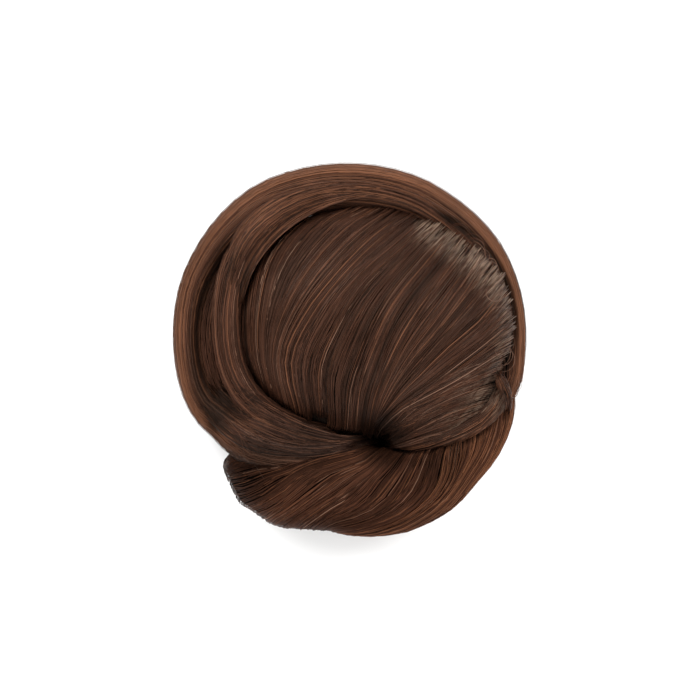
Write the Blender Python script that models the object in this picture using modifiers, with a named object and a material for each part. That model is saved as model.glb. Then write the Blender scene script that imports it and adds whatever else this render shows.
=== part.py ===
"""Top knot hairpiece: a coiled bun of straight brown hair on a hollow stretch cap.

Metres, +Z up, the origin under the middle of the bun on the surface that it rests on.
Seen from above, +X is right and +Y is up, as a wearer's friend sees the bun from behind.
"""

import math
from collections import namedtuple

import bmesh
import bpy
from mathutils import Vector

# Overall size of the bun
BUN_WIDTH = 0.125
BUN_LENGTH = 0.133
BUN_HEIGHT = 0.066

# Locks: full width across the lock and full height, at the widest station
WRAP_WIDTH = 0.0166
WRAP_HEIGHT = 0.0430
INNER_WIDTH = 0.0088
INNER_HEIGHT = 0.0170
UNDER_WIDTH = 0.0116
UNDER_HEIGHT = 0.0320
ROLL_WIDTH = 0.0344
ROLL_HEIGHT = 0.0450
LIP_WIDTH = 0.0196
LIP_HEIGHT = 0.0240
TUCK_WIDTH = 0.0050
TUCK_HEIGHT = 0.0060

# Crown: the dome's springing height, and the clearance under its lower edge
CROWN_SPRING = 0.0297
CROWN_FLOOR = 0.0030

# Stretch cap
CAP_WIDTH = 0.0740
CAP_LENGTH = 0.0780
CAP_RISE = 0.0250
CAP_WALL = 0.0016
RIM_WALL = 0.0032
RIM_HEIGHT = 0.0060

# Comb, sewn inside the cap's rim
COMB_WIDTH = 0.0300
COMB_SPINE = 0.0035
COMB_THICKNESS = 0.0016
COMB_LIFT = 0.0022
TOOTH_COUNT = 8
TOOTH_LENGTH = 0.0160
TOOTH_TIP = 0.0008

# Clear gap kept between neighbours
GAP = 0.0003

# How finely the shapes are divided
LOCK_SIDES = 12
CROWN_SIDES = 36
CROWN_STEPS = 8
CAP_SIDES = 36
CAP_STEPS = 7
SECTION_POWER = 2.25
CROWN_POWER = 2.0

# A station of a lock's route. turn and reach are polar, with reach a share of the bun's
# half width and half length; rise is a share of the bun's height; wide and tall are
# shares of the lock's own width and height.
Station = namedtuple("Station", "turn reach rise wide tall")

OUTER_WRAP_ROUTE = (
    Station(-27, 0.835, 0.26, 0.25, 0.22),
    Station(-22, 0.845, 0.28, 0.58, 0.50),
    Station(-13, 0.885, 0.30, 0.80, 0.70),
    Station(3, 0.888, 0.31, 0.90, 0.78),
    Station(22, 0.904, 0.32, 0.92, 0.82),
    Station(42, 0.908, 0.34, 0.93, 0.90),
    Station(62, 0.884, 0.36, 0.97, 0.97),
    Station(80, 0.870, 0.37, 1.00, 1.00),
    Station(95, 0.872, 0.37, 1.00, 1.00),
    Station(110, 0.889, 0.375, 0.98, 1.00),
    Station(122, 0.915, 0.375, 0.92, 1.00),
    Station(135, 0.930, 0.37, 0.82, 0.98),
    Station(149, 0.946, 0.36, 0.68, 0.95),
    Station(160, 0.955, 0.35, 0.60, 0.92),
    Station(171, 0.946, 0.345, 0.57, 0.90),
    Station(182, 0.932, 0.345, 0.57, 0.88),
    Station(193, 0.912, 0.36, 0.62, 0.84),
    Station(202, 0.870, 0.40, 0.74, 0.74),
    Station(211, 0.805, 0.46, 0.90, 0.60),
    Station(222, 0.748, 0.52, 0.96, 0.50),
    Station(235, 0.662, 0.545, 0.90, 0.45),
    Station(250, 0.580, 0.54, 0.76, 0.41),
    Station(267, 0.529, 0.51, 0.60, 0.36),
    Station(282, 0.512, 0.45, 0.42, 0.28),
    Station(291, 0.504, 0.38, 0.22, 0.16),
)

INNER_LOCK_ROUTE = (
    Station(84, 0.850, 0.50, 0.35, 0.35),
    Station(92, 0.844, 0.53, 0.60, 0.60),
    Station(105, 0.834, 0.57, 0.85, 0.85),
    Station(119, 0.834, 0.60, 1.00, 1.00),
    Station(133, 0.828, 0.61, 1.00, 1.00),
    Station(146, 0.800, 0.61, 1.00, 1.00),
    Station(160, 0.752, 0.61, 1.00, 1.00),
    Station(174, 0.713, 0.61, 1.00, 1.00),
    Station(188, 0.686, 0.60, 1.00, 1.00),
    Station(202, 0.650, 0.59, 1.00, 0.96),
    Station(217, 0.592, 0.58, 0.94, 0.90),
    Station(234, 0.523, 0.565, 0.82, 0.80),
    Station(257, 0.470, 0.53, 0.62, 0.62),
    Station(276, 0.474, 0.47, 0.34, 0.40),
)

UNDER_LOCK_ROUTE = (
    Station(108, 0.770, 0.29, 0.40, 0.50),
    Station(120, 0.800, 0.29, 0.80, 0.90),
    Station(140, 0.830, 0.30, 1.00, 1.00),
    Station(160, 0.830, 0.30, 1.00, 1.00),
    Station(180, 0.810, 0.30, 1.00, 1.00),
    Station(198, 0.775, 0.30, 1.00, 1.00),
    Station(212, 0.735, 0.30, 0.96, 1.00),
    Station(226, 0.700, 0.29, 0.80, 0.90),
    Station(236, 0.680, 0.28, 0.40, 0.50),
)

BOTTOM_ROLL_ROUTE = (
    Station(222.9, 0.945, 0.34, 0.10, 0.10),
    Station(224.3, 0.932, 0.34, 0.36, 0.38),
    Station(228.6, 0.892, 0.345, 0.62, 0.62),
    Station(234.9, 0.838, 0.35, 0.82, 0.80),
    Station(244.2, 0.780, 0.36, 0.96, 0.93),
    Station(261.6, 0.739, 0.375, 0.98, 1.00),
    Station(281.3, 0.766, 0.375, 1.00, 1.00),
    Station(297.6, 0.804, 0.37, 0.94, 0.97),
    Station(313.4, 0.830, 0.36, 0.80, 0.90),
    Station(327.7, 0.852, 0.34, 0.66, 0.80),
    Station(339.5, 0.864, 0.32, 0.50, 0.66),
    Station(350.0, 0.864, 0.31, 0.32, 0.45),
    Station(356.0, 0.860, 0.30, 0.12, 0.18),
)

KNOT_LIP_ROUTE = (
    Station(284.0, 0.500, 0.43, 0.16, 0.20),
    Station(291.0, 0.525, 0.455, 0.34, 0.40),
    Station(300.4, 0.554, 0.49, 0.52, 0.62),
    Station(311.1, 0.600, 0.52, 0.74, 0.86),
    Station(322.8, 0.666, 0.53, 0.90, 1.00),
    Station(333.5, 0.742, 0.52, 1.00, 1.00),
    Station(342.1, 0.808, 0.50, 0.92, 0.90),
    Station(348.5, 0.848, 0.48, 0.60, 0.62),
    Station(351.0, 0.862, 0.47, 0.24, 0.26),
)

TUCK_LOCK_ROUTE = (
    Station(354.0, 0.815, 0.58, 0.50, 0.50),
    Station(348.9, 0.872, 0.60, 0.92, 0.92),
    Station(344.7, 0.922, 0.56, 1.00, 1.00),
    Station(340.7, 0.952, 0.44, 1.00, 1.00),
    Station(336.8, 0.962, 0.32, 0.80, 0.80),
    Station(334.0, 0.950, 0.24, 0.40, 0.40),
)

# The crown's side below the springing. rise is a share of the springing height;
# the rest are shares of the bun's half width and half length.
CrownRing = namedtuple("CrownRing", "rise centre_x centre_y half_x half_y")

CROWN_SIDE = (
    CrownRing(0.00, -0.01, 0.00, 0.75, 0.72),
    CrownRing(0.30, 0.00, 0.03, 0.80, 0.74),
    CrownRing(0.65, 0.07, 0.09, 0.81, 0.70),
    CrownRing(1.00, 0.150, 0.140, 0.785, 0.645),
)

CUTTERS = "cutters"
BUN = "top_knot_hairpiece"


def clear_scene():
    for obj in list(bpy.data.objects):
        bpy.data.objects.remove(obj)
    for collection in list(bpy.data.collections):
        bpy.data.collections.remove(collection)


def new_collection(name):
    collection = bpy.data.collections.new(name)
    bpy.context.scene.collection.children.link(collection)
    return collection


def new_material(name, colour, roughness, metallic=0.0):
    material = bpy.data.materials.new(name)
    material.use_nodes = True
    shader = material.node_tree.nodes["Principled BSDF"]
    shader.inputs["Base Color"].default_value = (*colour, 1.0)
    shader.inputs["Roughness"].default_value = roughness
    shader.inputs["Metallic"].default_value = metallic
    material.diffuse_color = (*colour, 1.0)
    return material


def object_from(bm, name, material, collection):
    """A new object shaded smooth, with flat faces pointing outwards. The bmesh is freed."""
    bmesh.ops.triangulate(bm, faces=bm.faces[:])
    bmesh.ops.recalc_face_normals(bm, faces=bm.faces[:])
    mesh = bpy.data.meshes.new(name)
    bm.to_mesh(mesh)
    bm.free()
    mesh.shade_smooth()
    mesh.set_sharp_from_angle(angle=math.radians(40))
    obj = bpy.data.objects.new(name, mesh)
    if material:
        mesh.materials.append(material)
    collection.objects.link(obj)
    return obj


def power(value, exponent):
    """A signed power, for superellipses."""
    return math.copysign(abs(value) ** exponent, value)


def oval_point(angle, half_x, half_y, exponent):
    """The point of a superellipse at this angle."""
    x = half_x * power(math.cos(angle), 2 / exponent)
    y = half_y * power(math.sin(angle), 2 / exponent)
    return x, y


def smooth_between(before, start, end, after, share):
    """Catmull-Rom value a share of the way from start to end."""
    bend = 2 * before - 5 * start + 4 * end - after
    swing = 3 * start - before - 3 * end + after
    return start + 0.5 * share * (end - before + share * (bend + share * swing))


def stations_between(route, steps):
    """The route's own stations with steps - 1 smooth ones set between each two."""
    last = len(route) - 1
    finer = []
    for i in range(last):
        around = (route[max(i - 1, 0)], route[i], route[i + 1], route[min(i + 2, last)])
        for step in range(steps):
            share = step / steps
            finer.append(Station(*(smooth_between(*column, share) for column in zip(*around))))
    finer.append(route[-1])
    return finer


def place_of(station):
    """The middle of a lock at this station."""
    turn = math.radians(station.turn)
    return Vector(
        (
            BUN_WIDTH / 2 * station.reach * math.cos(turn),
            BUN_LENGTH / 2 * station.reach * math.sin(turn),
            BUN_HEIGHT * station.rise,
        )
    )


def close_rings(bm, rings):
    """Joins rings of equally many vertices, in order, and closes both ends."""
    for lower, upper in zip(rings, rings[1:]):
        for i in range(len(lower)):
            after = (i + 1) % len(lower)
            bm.faces.new((lower[i], lower[after], upper[after], upper[i]))
    bm.faces.new(rings[0])
    bm.faces.new(rings[-1])


def lock(name, route, width, height, steps, material, collection):
    """A lock of hair: a loft through superellipses set square to the route."""
    stations = stations_between(route, steps)
    middles = [place_of(station) for station in stations]
    bm = bmesh.new()
    rings = []
    for i, station in enumerate(stations):
        along = middles[min(i + 1, len(middles) - 1)] - middles[max(i - 1, 0)]
        across = along.cross(Vector((0, 0, 1))).normalized()
        upward = across.cross(along).normalized()
        ring = []
        for side in range(LOCK_SIDES):
            angle = 2 * math.pi * side / LOCK_SIDES
            out, up = oval_point(
                angle, width / 2 * station.wide, height / 2 * station.tall, SECTION_POWER
            )
            ring.append(bm.verts.new(middles[i] + across * out + upward * up))
        rings.append(ring)
    close_rings(bm, rings)
    return object_from(bm, name, material, collection)


def crown_ring(bm, ring, height):
    vertices = []
    for side in range(CROWN_SIDES):
        x, y = oval_point(2 * math.pi * side / CROWN_SIDES, ring.half_x, ring.half_y, CROWN_POWER)
        place = (
            BUN_WIDTH / 2 * (ring.centre_x + x),
            BUN_LENGTH / 2 * (ring.centre_y + y),
            height,
        )
        vertices.append(bm.verts.new(place))
    return vertices


def crown(material, collection):
    """The dome: a side of lofted ovals, and above the springing an elliptical dome."""
    bm = bmesh.new()
    rings = []
    for ring in CROWN_SIDE:
        height = CROWN_FLOOR + ring.rise * (CROWN_SPRING - CROWN_FLOOR)
        rings.append(crown_ring(bm, ring, height))
    spring = CROWN_SIDE[-1]
    for step in range(1, CROWN_STEPS):
        climb = math.pi / 2 * step / CROWN_STEPS
        narrow = math.cos(climb)
        ring = spring._replace(half_x=spring.half_x * narrow, half_y=spring.half_y * narrow)
        height = CROWN_SPRING + (BUN_HEIGHT - CROWN_SPRING) * math.sin(climb)
        rings.append(crown_ring(bm, ring, height))
    close_rings(bm, rings)
    top = bm.verts.new(
        (BUN_WIDTH / 2 * spring.centre_x, BUN_LENGTH / 2 * spring.centre_y, BUN_HEIGHT)
    )
    lid = next(face for face in bm.faces if set(face.verts) == set(rings[-1]))
    bmesh.ops.delete(bm, geom=[lid], context="FACES_ONLY")
    for i, vertex in enumerate(rings[-1]):
        bm.faces.new((vertex, rings[-1][(i + 1) % CROWN_SIDES], top))
    return object_from(bm, "crown_sweep", material, collection)


def cap_profile():
    """The cap's half section: down its outer side to the rim's foot, then up its inner side."""
    half = CAP_WIDTH / 2
    inner_half = half - CAP_WALL
    arch = CAP_RISE - RIM_HEIGHT
    climbs = [math.pi / 2 * step / CAP_STEPS for step in range(CAP_STEPS + 1)]
    outer = [(half * math.cos(a), RIM_HEIGHT + arch * math.sin(a)) for a in reversed(climbs)]
    inner = [
        (inner_half * math.cos(a), RIM_HEIGHT + (arch - CAP_WALL) * math.sin(a)) for a in climbs
    ]
    foot = [(half, 0.0), (half - RIM_WALL, 0.0), (half - RIM_WALL, RIM_HEIGHT)]
    return [(0.0, CAP_RISE), *outer[1:], *foot, *inner[:-1], (0.0, CAP_RISE - CAP_WALL)]


def cap(material, collection):
    """The stretch cap: a thin oval bowl, open below, with a thicker rim. Its profile is turned."""
    profile = [(x, 0.0, z) for x, z in cap_profile()]
    mesh = bpy.data.meshes.new("cap_profile")
    mesh.from_pydata(profile, [(i, i + 1) for i in range(len(profile) - 1)], [])
    turned = bpy.data.objects.new("cap_profile", mesh)
    collection.objects.link(turned)
    screw = turned.modifiers.new("Turn", "SCREW")
    screw.axis = "Z"
    screw.steps = CAP_SIDES
    screw.render_steps = CAP_SIDES
    screw.use_merge_vertices = True
    screw.merge_threshold = 0.00001
    bm = bmesh.new()
    bm.from_mesh(evaluated_mesh(turned))
    bmesh.ops.scale(bm, vec=(1, CAP_LENGTH / CAP_WIDTH, 1), verts=bm.verts[:])
    bpy.data.objects.remove(turned)
    return object_from(bm, "base_cap", material, collection)


def comb_outline():
    """Plan of the comb: its back edge, then tooth by tooth. The teeth point to -Y."""
    pitch = COMB_WIDTH / (2 * TOOTH_COUNT - 1)
    points = [(COMB_WIDTH / 2, COMB_SPINE), (-COMB_WIDTH / 2, COMB_SPINE)]
    for tooth in range(TOOTH_COUNT):
        left = 2 * pitch * tooth - COMB_WIDTH / 2
        middle = left + pitch / 2
        points += [
            (left, 0),
            (middle - TOOTH_TIP / 2, -TOOTH_LENGTH),
            (middle + TOOTH_TIP / 2, -TOOTH_LENGTH),
            (left + pitch, 0),
        ]
    return points


def comb(material, collection):
    """One plain comb, sewn inside the rim at the bun's far side, teeth towards the middle."""
    outline = bpy.data.curves.new("comb_outline", "CURVE")
    outline.dimensions = "2D"
    outline.fill_mode = "BOTH"
    outline.extrude = COMB_THICKNESS / 2
    points = comb_outline()
    spline = outline.splines.new("POLY")
    spline.points.add(len(points) - 1)
    for point, (x, y) in zip(spline.points, points):
        point.co = (x, y, 0, 1)
    spline.use_cyclic_u = True
    flat = bpy.data.objects.new("comb_outline", outline)
    collection.objects.link(flat)
    bm = bmesh.new()
    bm.from_mesh(evaluated_mesh(flat))
    bmesh.ops.remove_doubles(bm, verts=bm.verts[:], dist=0.00001)
    bpy.data.objects.remove(flat)
    obj = object_from(bm, "comb", material, collection)
    corner = COMB_WIDTH / 2 / (CAP_WIDTH / 2 - RIM_WALL)
    back = (CAP_LENGTH / 2 - RIM_WALL) * math.sqrt(1 - corner**2) - 2 * GAP
    obj.location = (0, back - COMB_SPINE, COMB_LIFT + COMB_THICKNESS / 2)
    return obj


def evaluated_mesh(obj):
    bpy.context.view_layer.update()
    graph = bpy.context.evaluated_depsgraph_get()
    return bpy.data.meshes.new_from_object(obj.evaluated_get(graph))


def grown_cutter(obj, collection):
    """A copy of this piece, one gap larger all round, to cut its neighbours with."""
    bm = bmesh.new()
    bm.from_mesh(obj.data)
    bm.normal_update()
    moves = [(vertex, vertex.normal.copy()) for vertex in bm.verts]
    for vertex, outwards in moves:
        vertex.co += outwards * GAP * 1.15
    cutter = object_from(bm, obj.name + "_cutter", None, collection)
    cutter.hide_render = True
    cutter.display_type = "WIRE"
    return cutter


def keep_largest_body(mesh):
    """Removes the crumbs that a cut leaves beside the main body."""
    bm = bmesh.new()
    bm.from_mesh(mesh)
    unseen = set(bm.verts)
    bodies = []
    while unseen:
        front = [unseen.pop()]
        body = set(front)
        while front:
            for edge in front.pop().link_edges:
                for vertex in edge.verts:
                    if vertex in unseen:
                        unseen.discard(vertex)
                        body.add(vertex)
                        front.append(vertex)
        bodies.append(body)
    main_body = max(bodies, key=len)
    bmesh.ops.delete(bm, geom=[v for v in bm.verts if v not in main_body], context="VERTS")
    bm.to_mesh(mesh)
    bm.free()


def cut_by(obj, cutters):
    """Cuts the piece back from each cutter and keeps its main body."""
    for cutter in cutters:
        modifier = obj.modifiers.new(cutter.name, "BOOLEAN")
        modifier.operation = "DIFFERENCE"
        modifier.object = cutter
    mesh = evaluated_mesh(obj)
    obj.modifiers.clear()
    keep_largest_body(mesh)
    obj.data = mesh


def centre_on_origin(pieces, collection):
    """Hangs the pieces on an empty that sets the middle of the bun's plan on the origin."""
    corners = [vertex.co for obj in pieces for vertex in obj.data.vertices]
    middle_x = (min(c.x for c in corners) + max(c.x for c in corners)) / 2
    middle_y = (min(c.y for c in corners) + max(c.y for c in corners)) / 2
    bun_centre = bpy.data.objects.new("bun_centre", None)
    bun_centre.location = (-middle_x, -middle_y, 0)
    collection.objects.link(bun_centre)
    for obj in pieces:
        obj.parent = bun_centre


def main():
    clear_scene()
    bun = new_collection(BUN)
    cutting = new_collection(CUTTERS)

    hair = new_material("hair", (0.062, 0.030, 0.021), 0.42)
    hair_light = new_material("hair_light", (0.095, 0.046, 0.030), 0.42)
    hair_dark = new_material("hair_dark", (0.040, 0.020, 0.014), 0.48)
    net = new_material("net", (0.030, 0.018, 0.013), 0.85)
    comb_plastic = new_material("comb_plastic", (0.022, 0.013, 0.010), 0.35)

    base_cap = cap(net, bun)
    hair_comb = comb(comb_plastic, bun)

    # Each lock is cut by the ones before it, and the crown by them all.
    locks = (
        lock("outer_wrap", OUTER_WRAP_ROUTE, WRAP_WIDTH, WRAP_HEIGHT, 2, hair_light, bun),
        lock("inner_lock", INNER_LOCK_ROUTE, INNER_WIDTH, INNER_HEIGHT, 2, hair, bun),
        lock("tuck_lock", TUCK_LOCK_ROUTE, TUCK_WIDTH, TUCK_HEIGHT, 2, hair_light, bun),
        lock("knot_lip", KNOT_LIP_ROUTE, LIP_WIDTH, LIP_HEIGHT, 2, hair, bun),
        lock("bottom_roll", BOTTOM_ROLL_ROUTE, ROLL_WIDTH, ROLL_HEIGHT, 2, hair, bun),
        lock("under_lock", UNDER_LOCK_ROUTE, UNDER_WIDTH, UNDER_HEIGHT, 2, hair_dark, bun),
    )
    crown_sweep = crown(hair, bun)

    cutters = [grown_cutter(base_cap, cutting)]
    cutters += [grown_cutter(obj, cutting) for obj in locks]
    for i, obj in enumerate((*locks, crown_sweep)):
        cut_by(obj, cutters[: i + 1])
    centre_on_origin([base_cap, hair_comb, *locks, crown_sweep], bun)


main()
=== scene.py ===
"""Top knot hairpiece, dressed for a picture: strands of hair over its solids, cap and comb."""

import math
from collections import namedtuple
from functools import cache

import bmesh
import bpy
import numpy as np
from bpy.props import FloatProperty, FloatVectorProperty, IntProperty, PointerProperty
from bpy.types import Operator, Panel, PropertyGroup
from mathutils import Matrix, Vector
from mathutils.bvhtree import BVHTree


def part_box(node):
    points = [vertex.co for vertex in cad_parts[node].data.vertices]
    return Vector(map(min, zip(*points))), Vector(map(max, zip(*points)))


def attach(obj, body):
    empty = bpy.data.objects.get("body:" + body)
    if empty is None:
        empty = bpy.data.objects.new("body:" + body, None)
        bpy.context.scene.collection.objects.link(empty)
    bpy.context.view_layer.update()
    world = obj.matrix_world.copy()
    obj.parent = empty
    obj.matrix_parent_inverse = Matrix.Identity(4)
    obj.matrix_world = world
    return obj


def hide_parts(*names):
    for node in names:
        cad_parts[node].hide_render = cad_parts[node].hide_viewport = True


bl_info = {
    "name": "Top knot hairpiece",
    "version": (1, 0, 0),
    "blender": (4, 5, 0),
    "location": "3D View > Sidebar > Top knot",
    "description": "Grows the hair of a coiled bun over its solids, and sets cap, comb and stage",
    "category": "Object",
}

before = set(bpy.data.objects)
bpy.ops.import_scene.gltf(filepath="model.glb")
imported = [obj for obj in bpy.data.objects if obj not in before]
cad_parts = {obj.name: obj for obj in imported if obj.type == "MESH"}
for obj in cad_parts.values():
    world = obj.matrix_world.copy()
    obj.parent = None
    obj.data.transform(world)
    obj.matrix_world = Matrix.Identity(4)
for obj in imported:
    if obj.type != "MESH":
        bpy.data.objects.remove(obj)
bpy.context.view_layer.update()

# Overall sizes that the routes below are shares of
BUN_WIDTH = 0.125
BUN_LENGTH = 0.133
BUN_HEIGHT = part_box("crown_sweep")[1][2]
CROWN_SPRING = 0.0297
SECTION_POWER = 2.25

# The bun's upright axis goes through the middle of its cap.
CAP_LOW, CAP_HIGH = (np.array(corner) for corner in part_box("base_cap"))
BUN_AXIS = (CAP_LOW + CAP_HIGH)[:2] / 2
HALF_PLAN = np.array((BUN_WIDTH, BUN_LENGTH)) / 2
UP = np.array((0.0, 0.0, 1.0))

# How far the dark under layer lies below a solid's faces, by node where it differs, and the
# size of the voxels that it is remeshed with
UNDER_DEPTH = 0.0008
UNDER_DEPTHS = {"bottom_roll": 0.0002, "tuck_lock": 0.0009}
UNDER_VOXEL = 0.0020

# A strand is a closed tube of three sides. Its UV map has its tone across, in a cell of its
# own, and root to tip along. A painted gleam on it, a lighter stretch of its colour that stands
# in for a highlight, is about this long.
UV_NAME = "OFBake"
TUBE_SIDES = 3
TUBE_FLATNESS = 0.62
CELL_WIDTH = 0.004
GLEAM_LENGTH = 0.009
STATION_COUNTS = (6, 9, 13, 18, 25, 35, 46)

# A strand is probed for where other solids cover it, along a slanted way out.
PROBES = 28
WAY_OUT = Vector((0.053, 0.031, 1.0)).normalized()
COVERED_DEPTH = 0.0006

# Sideways drift of whole sheets and swing of single strands, in guide hairs
CROWN_DRIFT, CROWN_SWING = 0.19, 0.085
ROLL_DRIFT, ROLL_SWING = 0.25, 0.06
LAID_DRIFT, LAID_SWING = 0.30, 0.12

# Where the crown's hair bends over after its root, and over what stretch, as shares of it
ROOT_BEND, ROOT_RUN = 0.11, 0.15

# Loose hairs are kept where the solids are this high and within this share of the plan.
LOOSE_FLOOR = 0.020
LOOSE_REACH = 0.965

# Gloss of hair, as a Specular IOR Level, its warm tint, and the cooler tint of the tail
HAIR_GLOSS = 0.16
GLOSS_TINT = (1.0, 0.82, 0.68, 1.0)
TAIL_TINT = (0.74, 0.80, 0.92)

# Where each kind of strand lies on the tone axis
UNDER_TONES = (0.01, 0.07)
PLAIN_TONES = (0.12, 0.60)
PALE_TONES = (0.62, 0.69)
WARM_TONES = (0.76, 0.99)

# A lock's route is rows of (turn, reach, rise, wide, tall). Turn in degrees and reach are
# polar, with reach a share of the bun's half width and half length. Rise is a share of the
# bun's height, and wide and tall are shares of the lock's own width and height.
Lock = namedtuple("Lock", "node width height hollowed route")

OUTER_WRAP = Lock(
    "outer_wrap", 0.0166, 0.0430, True,
    (
        (-27, 0.835, 0.26, 0.25, 0.22), (-22, 0.845, 0.28, 0.58, 0.50), (-13, 0.885, 0.30, 0.80, 0.70),
        (3, 0.888, 0.31, 0.90, 0.78), (22, 0.904, 0.32, 0.92, 0.82), (42, 0.908, 0.34, 0.93, 0.90),
        (62, 0.884, 0.36, 0.97, 0.97), (80, 0.870, 0.37, 1.00, 1.00), (95, 0.872, 0.37, 1.00, 1.00),
        (110, 0.889, 0.375, 0.98, 1.00), (122, 0.915, 0.375, 0.92, 1.00),
        (135, 0.930, 0.37, 0.82, 0.98), (149, 0.946, 0.36, 0.68, 0.95), (160, 0.955, 0.35, 0.60, 0.92),
        (171, 0.946, 0.345, 0.57, 0.90), (182, 0.932, 0.345, 0.57, 0.88),
        (193, 0.912, 0.36, 0.62, 0.84), (202, 0.870, 0.40, 0.74, 0.74), (211, 0.805, 0.46, 0.90, 0.60),
        (222, 0.748, 0.52, 0.96, 0.50), (235, 0.662, 0.545, 0.90, 0.45), (250, 0.580, 0.54, 0.76, 0.41),
        (267, 0.529, 0.51, 0.60, 0.36), (282, 0.512, 0.45, 0.42, 0.28), (291, 0.504, 0.38, 0.22, 0.16),
    ),
)

INNER_LOCK = Lock(
    "inner_lock", 0.0088, 0.0170, False,
    (
        (84, 0.850, 0.50, 0.35, 0.35), (92, 0.844, 0.53, 0.60, 0.60), (105, 0.834, 0.57, 0.85, 0.85),
        (119, 0.834, 0.60, 1.00, 1.00), (133, 0.828, 0.61, 1.00, 1.00), (146, 0.800, 0.61, 1.00, 1.00),
        (160, 0.752, 0.61, 1.00, 1.00), (174, 0.713, 0.61, 1.00, 1.00), (188, 0.686, 0.60, 1.00, 1.00),
        (202, 0.650, 0.59, 1.00, 0.96), (217, 0.592, 0.58, 0.94, 0.90), (234, 0.523, 0.565, 0.82, 0.80),
        (257, 0.470, 0.53, 0.62, 0.62), (276, 0.474, 0.47, 0.34, 0.40),
    ),
)

UNDER_LOCK = Lock(
    "under_lock", 0.0116, 0.0320, False,
    (
        (108, 0.770, 0.29, 0.40, 0.50), (120, 0.800, 0.29, 0.80, 0.90), (140, 0.830, 0.30, 1.00, 1.00),
        (160, 0.830, 0.30, 1.00, 1.00), (180, 0.810, 0.30, 1.00, 1.00), (198, 0.775, 0.30, 1.00, 1.00),
        (212, 0.735, 0.30, 0.96, 1.00), (226, 0.700, 0.29, 0.80, 0.90), (236, 0.680, 0.28, 0.40, 0.50),
    ),
)

BOTTOM_ROLL = Lock(
    "bottom_roll", 0.0344, 0.0450, False,
    (
        (222.9, 0.945, 0.34, 0.10, 0.10), (224.3, 0.932, 0.34, 0.36, 0.38),
        (228.6, 0.892, 0.345, 0.62, 0.62), (234.9, 0.838, 0.35, 0.82, 0.80),
        (244.2, 0.780, 0.36, 0.96, 0.93), (261.6, 0.739, 0.375, 0.98, 1.00),
        (281.3, 0.766, 0.375, 1.00, 1.00), (297.6, 0.804, 0.37, 0.94, 0.97),
        (313.4, 0.830, 0.36, 0.80, 0.90), (327.7, 0.852, 0.34, 0.66, 0.80),
        (339.5, 0.864, 0.32, 0.50, 0.66), (350.0, 0.864, 0.31, 0.32, 0.45),
        (356.0, 0.860, 0.30, 0.12, 0.18),
    ),
)

KNOT_LIP = Lock(
    "knot_lip", 0.0196, 0.0240, False,
    (
        (284.0, 0.500, 0.43, 0.16, 0.20), (291.0, 0.525, 0.455, 0.34, 0.40),
        (300.4, 0.554, 0.49, 0.52, 0.62), (311.1, 0.600, 0.52, 0.74, 0.86),
        (322.8, 0.666, 0.53, 0.90, 1.00), (333.5, 0.742, 0.52, 1.00, 1.00),
        (342.1, 0.808, 0.50, 0.92, 0.90), (348.5, 0.848, 0.48, 0.60, 0.62),
        (351.0, 0.862, 0.47, 0.24, 0.26),
    ),
)

TUCK_LOCK = Lock(
    "tuck_lock", 0.0050, 0.0060, False,
    (
        (354.0, 0.815, 0.58, 0.50, 0.50), (348.9, 0.872, 0.60, 0.92, 0.92),
        (344.7, 0.922, 0.56, 1.00, 1.00), (340.7, 0.952, 0.44, 1.00, 1.00),
        (336.8, 0.962, 0.32, 0.80, 0.80), (334.0, 0.950, 0.24, 0.40, 0.40),
    ),
)

# The dome above the springing: its middle and half sizes, as shares of the bun's half plan
DOME_MIDDLE = np.array((0.150, 0.140))
DOME_HALF = np.array((0.785, 0.645))
DOME_FALL = 0.045
DOME_CENTRE = BUN_AXIS + HALF_PLAN * DOME_MIDDLE
DOME_SIZE = HALF_PLAN * DOME_HALF

# Where the wrap's hair sinks: (direction of the window's middle in degrees, cosine at its
# edge, depth), for the groove along the root line and for the valley at the left
ROOT_GROOVE = (19, 0.68, 0.0026)
LEFT_VALLEY = (176, 0.78, 0.0034)
VALLEY_EDGE = 0.945

# Places in deep shade: (across, along) in metres, radius, share of light left at the middle
SHADES = (
    ((0.0104, -0.0313), 0.0125, 0.10),
    ((-0.0370, -0.0425), 0.0150, 0.42),
    ((-0.0175, -0.0350), 0.0200, 0.60),
    ((0.0320, -0.0390), 0.0110, 0.66),
)

# How a lock's hair is moved off its solid's outline, seen from above: rows of direction in
# degrees, distance outward, and turning round the middle in degrees
EASES = {
    "outer_wrap": (
        (36, 0.0, 0.0), (45, -0.0005, 0.0), (57, -0.0005, 0.0), (64, 0.0, 0.0), (204, 0.0, 0.0),
        (213, -0.0008, 0.0), (219, 0.0, 0.0), (341, 0.0, 0.0), (346, 0.0009, 0.0), (352, 0.0004, 0.0),
        (357, 0.0, 0.0),
    ),
    "bottom_roll": (
        (217, 0.0018, -3.0), (222, 0.0023, -3.0), (228, -0.0010, -2.2), (231, -0.0004, -1.5),
        (235, 0.0012, -0.6), (240, 0.0010, 0.0), (245, 0.0020, 0.0), (251, 0.0015, 0.0),
        (257, 0.0008, 0.0), (264, -0.0001, 0.0), (270, 0.0004, 0.0), (287, 0.0004, 0.0),
        (293, -0.0002, 0.0), (303, -0.0003, 0.0), (314, -0.0012, 0.0), (324, -0.0007, 0.0),
        (334, -0.0002, 0.0),
    ),
}

# The grid in plan of the heights that laid hair rests on: its half width, its step, the
# height it is looked at from, and how many steps wide the creases are that it fills
FIELD_HALF = 0.078
FIELD_STEP = 0.0006
FIELD_TOP = 0.1
FIELD_CLOSING = 6

# How far laid hair and the roll's hair are lifted over what they lie on
LAID_LIFT = 0.0004
ROLL_LIFT = 0.0003

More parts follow.
